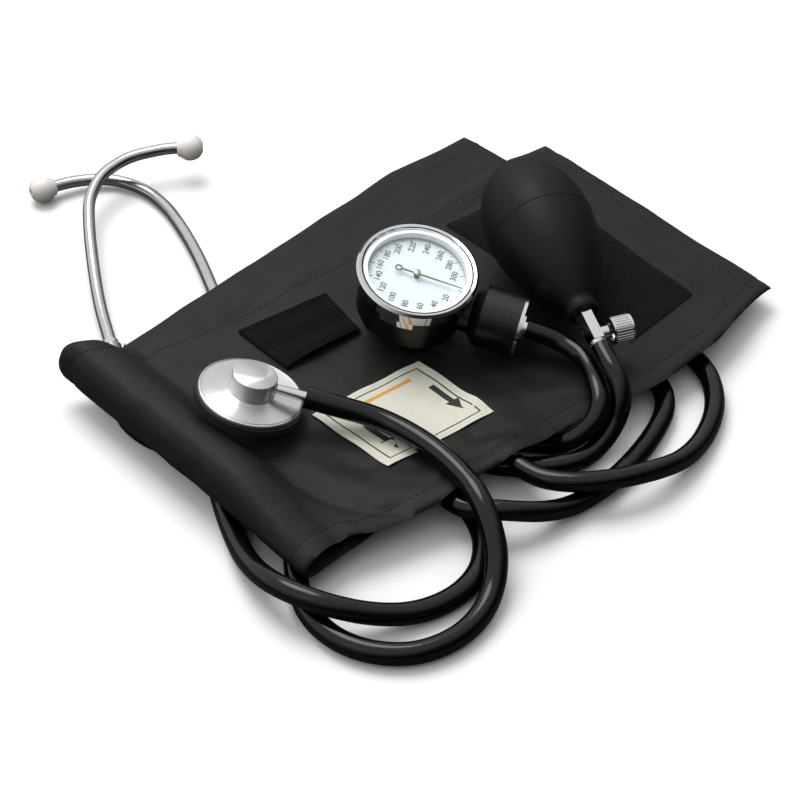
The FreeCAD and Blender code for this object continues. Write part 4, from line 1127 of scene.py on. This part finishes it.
@dataclass
class Strap(Patch):
    """The ribbed strap that holds the gauge, bowed up along its front edge."""

    corners: tuple[Pair, ...] = ((65, 129), (110, 122.5), (105, 93.5), (65, 96))
    thickness: float = 1.0
    step: float = 0.42
    lift: float = 0.25
    ribs: int = 20
    seams: tuple[tuple[Pair, Pair], ...] = (
        ((67, 127.5), (67, 97.5)), ((70, 127), (70, 97.5)), ((107, 122), (102.5, 94.8)),
    )

    def wave(self, u: float, v: float) -> float:
        """Ribs along the strap, and the bow of its loose front edge."""
        bow = 2.4 * ease(0.35, 1.0, v) * math.sin(math.pi * u) ** 0.5 if 0 < u < 1 else 0.0
        return 0.26 * math.cos(v * math.pi * 2 * self.ribs) + bow + 0.2

    def build(self) -> None:
        """Build the strap with its three seams."""
        strap = self.drape("gauge_strap_webbing", RIBBED_WEBBING)
        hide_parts("gauge_strap")
        for index, ((x0, y0), (x1, y1)) in enumerate(self.seams):
            places = [(x0 + (x1 - x0) * k / 19, y0 + (y1 - y0) * k / 19) for k in range(20)]
            line = [spot(x, y, self.cuff.surface(x, y) + 1.85) for x, y in places]
            Stitch(2.6, 2.0, 0.25).sew(f"strap_stitches_{index}", line)


@dataclass
class LoopPanel(Patch):
    """The pile panel under the bulb, with its bristles."""

    corners: tuple[Pair, ...] = ((185.5, 125), (239, 121), (232.6, 15), (189.4, 11))
    thickness: float = 1.0
    step: float = 1.7
    lift: float = 0.25
    grid: tuple[int, int] = (36, 84)

    def wave(self, u: float, v: float) -> float:
        """The panel lies flat, rounded down at its edges."""
        edge = min(u * 50, (1 - u) * 50, v * 110, (1 - v) * 110)
        return -0.5 * (1 - ease(0, 2.0, edge))

    def build(self) -> None:
        """Build the panel and its bristles."""
        panel = self.drape("loop_panel_pile", LOOP_PILE)
        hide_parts("loop_panel")
        across, down = self.grid
        roots = [
            self.at(column / across, row / down, self.thickness + 0.15)
            for row in range(1, down)
            for column in range(1, across)
        ]
        sizes = {"Tall": 0.8 * MM, "Thick": 0.3 * MM, "Lean": 0.6, "Seed": 11}
        base = base_mesh(roots)
        bristles = grown("loop_panel_bristles", bristles_on_a_grid, base, sizes, LOOP_PILE)
        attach(bristles, KIT)


# ---- hoses and tubing
@dataclass
class Hose:
    """A free hose or tube: its sizes in mm, and its route from the cuff's corner."""

    name: str
    node: str
    diameter: float
    length: float
    far_end: str
    with_pieces: tuple[str, ...]
    route: tuple[Triple, ...]

    def build(self) -> None:
        points = [spot(*p) for p in self.route]
        curve = bpy.data.curves.new(self.name, "CURVE")
        curve.dimensions = "3D"
        curve.resolution_u = 10
        curve.bevel_depth = self.diameter / 2 * MM
        curve.bevel_resolution = 7
        curve.use_fill_caps = True
        spline = curve.splines.new("NURBS")
        spline.points.add(len(points) - 1)
        for control, point in zip(spline.points, points):
            control.co = (*point, 1.0)
        spline.order_u = 3
        spline.use_endpoint_u = True
        curve.materials.append(EXTRUDED_VINYL.make())
        made = stand(self.name, curve)
        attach(made, KIT)
        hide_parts(self.node)
        LOG.info("%s: %d control points", self.name, len(points))


LOW = 4.6  # the height at which a hose lies on the table under the cuff
FLAT = 4.95  # the same for the thicker tubing
HOSES = (
    Hose("gauge_hose_rubber", "gauge_hose", 8.8, 393.0, "object", (), (
        (151.08, 37.72, 28.56), (155.42, 31.15, 27.15), (159.6, 23.8, 24.5), (160.6, 13.6, 23.9),
        (157.1, 4.8, 23.2), (151.2, -4.6, 23.6), (147.3, -10.8, 22.1), (142.3, -14.4, 18.9),
        (136.4, -14.9, 15), (130.1, -12, 10.6), (126, -5.6, 5.6), (119.5, 4, LOW),
        (113, 14, LOW), (109, 26, LOW), (112, 37.5, LOW), (123, 44, LOW), (138, 46, LOW),
        (153, 44, LOW), (168, 36, LOW), (181, 24, LOW), (189, 8, LOW), (189, -8, LOW),
        (180, -20.5, LOW), (164, -28.5, LOW), (145, -34.2, LOW), (124, -37.4, LOW),
        (105, -37, 5.6), (90, -34, 10.4), (77.5, -27.5, 15), (69, -18, 14.6),
        (66, -11.3, 12.7), (66, -4.5, 12.7),
    )),
    Hose("bulb_hose_rubber", "bulb_hose", 8.8, 443.0, "object", (), (
        (163.89, 5.94, 31.2), (160.8, -1.33, 29.94), (158.9, -8.4, 28.2), (157, -13.4, 24.7),
        (154.2, -17, 19.3), (150.2, -18, 12.2), (142.1, -19, 6.8), (130.5, -20, 5.3),
        (120.4, -15.9, 4.8), (111.4, -9, LOW), (101.5, 0.5, LOW), (95, 12, LOW),
        (94.5, 27, LOW), (100, 41, LOW), (112, 51.5, LOW), (129, 57, LOW), (148, 57, LOW),
        (168, 52, LOW), (187, 42, LOW), (202, 28, LOW), (211, 11, LOW), (213, -6, LOW),
        (207, -22, LOW), (194, -36, LOW), (177, -45, LOW), (159, -50, 7.4), (142, -50, 12.4),
        (126, -45, 14.4), (112, -36, 14.4), (103.5, -26, 14), (101, -16.1, 12.7),
        (101, -7.5, 12.7),
    )),
    Hose("chest_tube_rubber", "chest_tube", 9.5, 578.0, "fitting", ("tube_yoke",), (
        (49.45, 65.37, 32.01), (56.64, 56.16, 29.29), (68, 42, 25.4), (73, 26, 23.8),
        (74, 10, 23.6), (72, -6, 24), (68, -20, 24.6), (63, -33, 20), (57, -43, 13),
        (47, -51, 6.6), (33, -57, FLAT), (17, -58, FLAT), (2, -53, FLAT), (-9, -42, FLAT),
        (-15, -28, FLAT), (-15, -12, FLAT), (-9, 3, FLAT), (1, 17, FLAT), (12, 29, FLAT),
        (27, 38, FLAT), (44, 39, FLAT), (60, 32, FLAT), (71, 19, FLAT), (75, 3, FLAT),
        (73, -13, FLAT), (65, -28, FLAT), (51, -39, FLAT), (34, -42, FLAT), (17, -38, 5.4),
        (2, -30, 9.4), (-11, -19, 15), (-18, -4, 16), (-19, 12, 12.8), (-15, 28, 8),
        (-9, 42, 5.2), (-2.18, 56.83, 4.9), (5, 70, 4.9),
    )),
    Hose("left_arm_tube_rubber", "arm_tube_left", 7.8, 75.0, "object", (), (
        (8, 93, 4.9), (5.57, 102.7, 4.9), (1.5, 115, 4.6), (1.5, 128, 4.5), (7, 140, 4.5),
        (16.64, 151.27, 4.02), (21.6, 161.2, 4.37),
    )),
    Hose("right_arm_tube_rubber", "arm_tube_right", 7.8, 89.0, "object", (), (
        (21, 89, 4.9), (28.81, 95.25, 4.9), (43, 109, 4.6), (57, 124, 4.5),
        (73.01, 146.09, 4.59), (77.63, 156.18, 4.41),
    )),
)


# ---- gauge
@dataclass
class Gauge:
    """The dial's print and the needle's boss. Sizes in mm from the bezel's face."""

    seating: Matrix = field(
        default_factory=lambda: seat((122.9, 76.3, 53.7), -56.52, 10.14, 7.73)
    )
    dial_level: float = -5.4
    boss_top: float = -2.6
    zero: float = -2.0
    sweep: float = 336.0
    full_scale: int = 300
    tick_radius: float = 21.2
    number_radius: float = 16.5
    number_size: float = 3.7

    def build(self) -> None:
        """Print the dial and press the small domed boss on the needle's hub."""
        self.print_ticks()
        self.print_numbers()
        top = self.boss_top
        outline = [(top, 0.0), (top, 1.55), (top + 0.3, 1.5), (top + 0.55, 1.1), (top + 0.65, 0.0)]
        boss = lathe("needle_boss", outline, self.seating, NICKEL_BRASS, 32, Axis.Z)
        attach(boss, "pointer_body")

    def print_ticks(self) -> None:
        """Print the three lengths of scale mark and the ring round them."""
        print_seat = self.seating @ Matrix.Translation((0, 0, self.dial_level + 0.03))
        for name, every, length, width in (
            ("fine", 2, 1.0, 0.12), ("ten", 10, 1.9, 0.2), ("twenty", 20, 2.4, 0.3)
        ):
            sizes = {
                "Count": self.full_scale // every + 1,
                "Start": math.radians(self.zero),
                "Step": -math.radians(self.sweep * every / self.full_scale),
                "Radius": (self.tick_radius - length / 2) * MM,
                "Length": length * MM,
                "Width": width * MM,
                "Height": 0.06 * MM,
            }
            base = base_mesh(seating=print_seat)
            marks = grown(f"dial_{name}_marks", bars_round_a_ring, base, sizes, DIAL_INK)
            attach(marks, KIT)
        inner, outer = self.tick_radius, self.tick_radius + 0.12
        outline = [(0.0, inner), (0.0, outer), (0.05, outer), (0.05, inner)]
        ring = lathe("dial_ring_0", outline, print_seat, DIAL_INK, 96, Axis.Z)
        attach(ring, KIT)

    def print_numbers(self) -> None:
        """Print the plain numbers of the scale, upright when the neck points down."""
        upright = Matrix.Rotation(math.radians(90), 4, "Z")
        for value in range(20, self.full_scale + 20, 20):
            angle = math.radians(self.zero - self.sweep * value / self.full_scale)
            text = bpy.data.curves.new("number", "FONT")
            text.body = str(value)
            text.size = self.number_size
            text.offset = 0.05
            text.align_x = text.align_y = "CENTER"
            text.extrude = 0.02
            text.materials.append(DIAL_INK.make())
            label = stand("number", text)
            out, up = self.number_radius * math.cos(angle), self.number_radius * math.sin(angle)
            place = Matrix.Translation((out, up, self.dial_level + 0.05))
            label.matrix_world = self.seating @ place @ upright
            number = evaluated(label, f"dial_number_{value}")
            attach(number, KIT)


# ---- bulb
@dataclass
class Bulb:
    """The rubber squeeze bulb. Sizes in mm from its neck end; +X points at the valve."""

    seating: Matrix = field(default_factory=lambda: seat((171.3, 23.4, 34.2), -113.0, 9.0, 0.0))
    length: float = 90.0
    radius: float = 24.0
    wall: float = 2.6
    neck: float = 7.0
    bore: float = 3.5

    def outline(self) -> list[Pair]:
        """The outer half outline from inlet end to neck, with the parting line's ridge.

        Returns:
            (along, radius) pairs.
        """
        start, end = -self.length, -5.0
        widest = start + 0.42 * (end - start)
        points: list[Pair] = []
        for angle in (math.pi / 2 * step / 24 for step in range(25)):
            reach = widest - (widest - start) * math.cos(angle)
            points.append((reach, self.radius * math.sin(angle)))
        for share in (step / 32 for step in range(1, 33)):
            radius = self.neck + (self.radius - self.neck) * (1 - share**2.1) ** 0.95
            points.append((widest + (end - widest) * share, radius))
        ridge = widest + 4.0
        shaped = list(points)
        for offset, rise in ((-0.8, 0.0), (-0.35, 0.22), (0.35, 0.22), (0.8, 0.0)):
            shaped.append((ridge + offset, along(points, ridge + offset) + rise))
        return sorted(shaped)

    def build(self) -> None:
        """Build the bulb's shell with its two open ends."""
        far = -self.length
        outer = [(x, r) for x, r in self.outline() if r > 6.2]
        closed = [(far + 1.6, 4.9), (far + 0.1, 5.2), (far - 0.2, 5.9), *outer]
        closed += [(-4.0, 7.0), (-1.0, 7.1), (0.0, 6.6), (0.0, self.bore), (-11.0, self.bore)]
        for x, r in reversed([(x, r) for x, r in outer if r > 9.0]):
            closed.append((x + (self.wall if x < -50 else -3.0), max(self.bore, r - self.wall)))
        closed += [(far + 8.0, 7.2), (far + 8.0, 4.9)]
        bulb = lathe("bulb_rubber_shell", closed, self.seating, MOULDED_RUBBER, 128, Axis.X, 50)
        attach(bulb, KIT)
        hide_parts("bulb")


# ---- stethoscope
@dataclass
class Stethoscope:
    """The chest piece and the ear tips. Sizes in mm from the chest piece's face."""

    seating: Matrix = field(default_factory=lambda: seat((34.7, 83.3, 32.0), -52.0, 13.1, -6.3))
    knurls: int = 150
    rim_radius: float = 23.2
    face_radius: float = 21.0
    hub_foot: float = 10.6
    # Outlines as (along, radius), and each ear tube's last two places from the cuff's corner.
    rim: tuple[Pair, ...] = (
        (-5.4, 19.6), (-5.5, 21.0), (-5.2, 23.0), (-4.8, 23.2), (-1.4, 23.2), (-0.9, 22.9),
        (-0.9, 22.6), (-4.6, 22.6), (-4.6, 19.6),
    )
    tip: tuple[Pair, ...] = (
        (-4.5, 2.85), (-4.5, 3.6), (-4.2, 4.0), (-3.0, 4.4), (-1.8, 5.3), (-0.6, 6.0),
        (1.0, 6.3), (2.6, 6.25), (4.2, 5.85), (5.6, 5.1), (6.8, 3.9), (7.5, 2.7),
        (7.8, 1.9), (7.6, 1.4), (0.2, 1.4), (0.2, 2.85),
    )
    ear_ends: tuple[tuple[str, Triple, Triple], ...] = (
        ("left", (125, 256, 17.2), (133, 250, 17.2)), ("right", (88, 277, 5.6), (72, 281, 6.6)),
    )

    def build(self) -> None:
        """Build the turned head, the knurled rim and the ear tips."""
        wide, foot = self.face_radius, self.hub_foot
        shares = [step / 14 for step in range(1, 14)]
        outline = [
            (-4.0, 21.2), (-3.9, 22.2), (-1.0, 22.5), (-0.2, 22.2), (0.0, 21.7), (-0.35, 21.5),
            (-0.35, 21.2), (0.0, 21.0), *((0.9 * s**1.4, wide - (wide - foot) * s) for s in shares),
            (1.1, 10.0), (1.5, 9.75), (8.9, 9.75), (9.35, 9.55), (9.6, 9.1), (9.6, 0.0),
            (-1.2, 0.0), (-1.2, 2.0), (-3.2, 20.0),
        ]
        head = lathe(
            "chest_head_turned", outline, self.seating, TURNED_ALUMINIUM, 160, Axis.Z, 35
        )
        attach(head, KIT)
        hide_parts("chest_head")
        rim = lathe("chest_rim_ring", self.rim, self.seating, MOULDED_ACETAL, 128, Axis.Z)
        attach(rim, KIT)
        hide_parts("chest_rim")
        sizes = {
            "Count": self.knurls, "Start": 0.0, "Step": 2 * math.pi / self.knurls,
            "Radius": self.rim_radius * MM, "Length": 0.9 * MM, "Width": 0.5 * MM,
            "Height": 3.2 * MM,
        }
        base = base_mesh(seating=self.seating @ Matrix.Translation((0, 0, -3.1)))
        # the knurl bars take the lighter acetal: a painted highlight on the teeth
        knurl = grown("chest_rim_knurl", bars_round_a_ring, base, sizes, KNURL_HIGHLIGHT_ACETAL)
        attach(knurl, KIT)
        self.build_tips()

    def build_tips(self) -> None:
        """Build the two soft ear tips on the ends of the ear tubes."""
        for side, before, end in self.ear_ends:
            way = (Vector(end) - Vector(before)).normalized()
            turn = way.to_track_quat("X", "Z").to_matrix().to_4x4()
            seating = Matrix.Translation(spot(*end)) @ turn @ Matrix.Scale(MM, 4)
            name = f"ear_tip_{side}_soft"
            tip = lathe(name, self.tip, seating, MILKY_SILICONE, 48, Axis.X, 50)
            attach(tip, f"{side}_ear_body")
            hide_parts("ear_tip_" + side)


# ---- carried-over nodes
FINISH_NODES: tuple[tuple[Finish, str], ...] = (
    (WRINKLE_ENAMEL, "gauge_case"),
    (CHROME_PLATE, "bezel_ring bezel_clip neck_end_plate gauge_nipple valve_body release_knob"),
    (CHROME_PLATE, "chest_stem ferrule_left ferrule_right"),
    (DRAWN_CHROME, "inlet_valve_seat ear_tube_left ear_tube_right"),
    (GROUND_STEEL, "release_screw spring_clip_left spring_clip_right leaf_spring"),
    (GROUND_STEEL, "movement_screws dial_posts"),
    (MOULDED_RUBBER, "release_seal inlet_valve_disc outlet_valve_disc"),
    (EXTRUDED_VINYL, "tube_yoke bladder_ports"),
    (LOOP_PILE, "hook_panel"),
    (LENS_ACRYLIC, "lens"),
    (WHITE_NYLON, "lens_gasket"),
    (DIAL_LACQUER, "dial_plate"),
    (NEEDLE_ENAMEL, "pointer"),
    (DIAPHRAGM_FILM, "diaphragm"),
)


def dress_nodes(nodes: dict[str, Object]) -> None:
    """Give every carried-over node its finish; one that isn't named above is clock brass.

    Args:
        nodes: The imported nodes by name.
    """
    named = {name: finish for finish, names in FINISH_NODES for name in names.split()}
    for name, node in nodes.items():
        finish = named.get(name, CLOCK_BRASS)
        node.data.materials.clear()
        node.data.materials.append(finish.make())
        LOG.info("%s: %s", name, finish.name)


# ---- studio
@dataclass
class Studio:
    """Floor, light and camera. Metres, watts and degrees; look_at is in mm as for spot."""

    azimuth: float = -42.22
    elevation: float = 42.29
    distance: float = 1.12566
    focal_length: float = 116.6
    look_at: Triple = (100.99, 63.67, 0.0)
    floor_half: float = 12.0
    lamps: tuple[tuple[str, Triple, float, float], ...] = (  # name, place, size and power
        ("overhead_lamp", (0.1, 0.55, 1.25), 0.9, 11.0),
        ("left_lamp", (-1.1, -0.1, 0.9), 0.5, 0.25),
    )

    def build(self) -> None:
        """Build the white floor that shows soft shadows, the light and the camera."""
        half = self.floor_half
        ends = ((-half, -half), (half, -half), (half, half), (-half, half))
        corners = [Vector((x, y, -0.0002)) for x, y in ends]
        floor = piece("studio_floor", corners, [(0, 1, 2, 3)], STUDIO_PAPER)
        self.build_light()
        self.build_camera()

    def build_light(self) -> None:
        """Light from a white room that darkens away from its window, and from two soft lamps."""
        world = bpy.data.worlds.new("white_room")
        bpy.context.scene.world = world
        world.use_nodes = True
        tree = world.node_tree
        look = add(tree, "ShaderNodeTexCoord").outputs["Generated"]
        window = {1: (-0.09, 0.49, 0.8)}
        way = add(tree, "ShaderNodeVectorMath", {0: look}, window, operation="DOT_PRODUCT")
        rise = add(
            tree, "ShaderNodeMapRange", {"Value": way.outputs["Value"]},
            {"From Min": -0.1, "From Max": 0.7, "To Min": 0.03, "To Max": 1.0},
            interpolation_type="SMOOTHSTEP",
        )
        back = tree.nodes["Background"]
        back.inputs["Color"].default_value = (1, 1, 1, 1)
        tree.links.new(rise.outputs[0], back.inputs["Strength"])
        for name, place, size, power in self.lamps:
            lamp = bpy.data.lights.new(name, "AREA")
            lamp.shape = "DISK"
            lamp.size = size
            lamp.energy = power
            made = stand(name, lamp)
            made.location = place
            made.rotation_euler = (-Vector(place)).to_track_quat("-Z", "Y").to_euler()

    def build_camera(self) -> None:
        """Set the camera at the viewing angle."""
        data = bpy.data.cameras.new("studio_camera")
        data.lens = self.focal_length
        data.sensor_width = 36.0
        camera = stand("studio_camera", data)
        turn = Euler((math.radians(90 - self.elevation), 0, math.radians(self.azimuth)))
        camera.rotation_euler = turn
        camera.location = spot(*self.look_at) + turn.to_matrix() @ Vector((0, 0, self.distance))
        bpy.context.scene.camera = camera


def main() -> None:
    """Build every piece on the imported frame."""
    logging.basicConfig(level=logging.INFO, format="%(name)s: %(message)s")
    bpy.context.scene.view_settings.view_transform = "Standard"
    for old in list(bpy.data.objects):
        bpy.data.objects.remove(old)
    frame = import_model()
    Studio().build()
    dress_nodes(frame["nodes"])
    for part in (*HOSES, Cuff(), Gauge(), Bulb(), Stethoscope()):
        part.build()


if __name__ == "__main__":
    main()
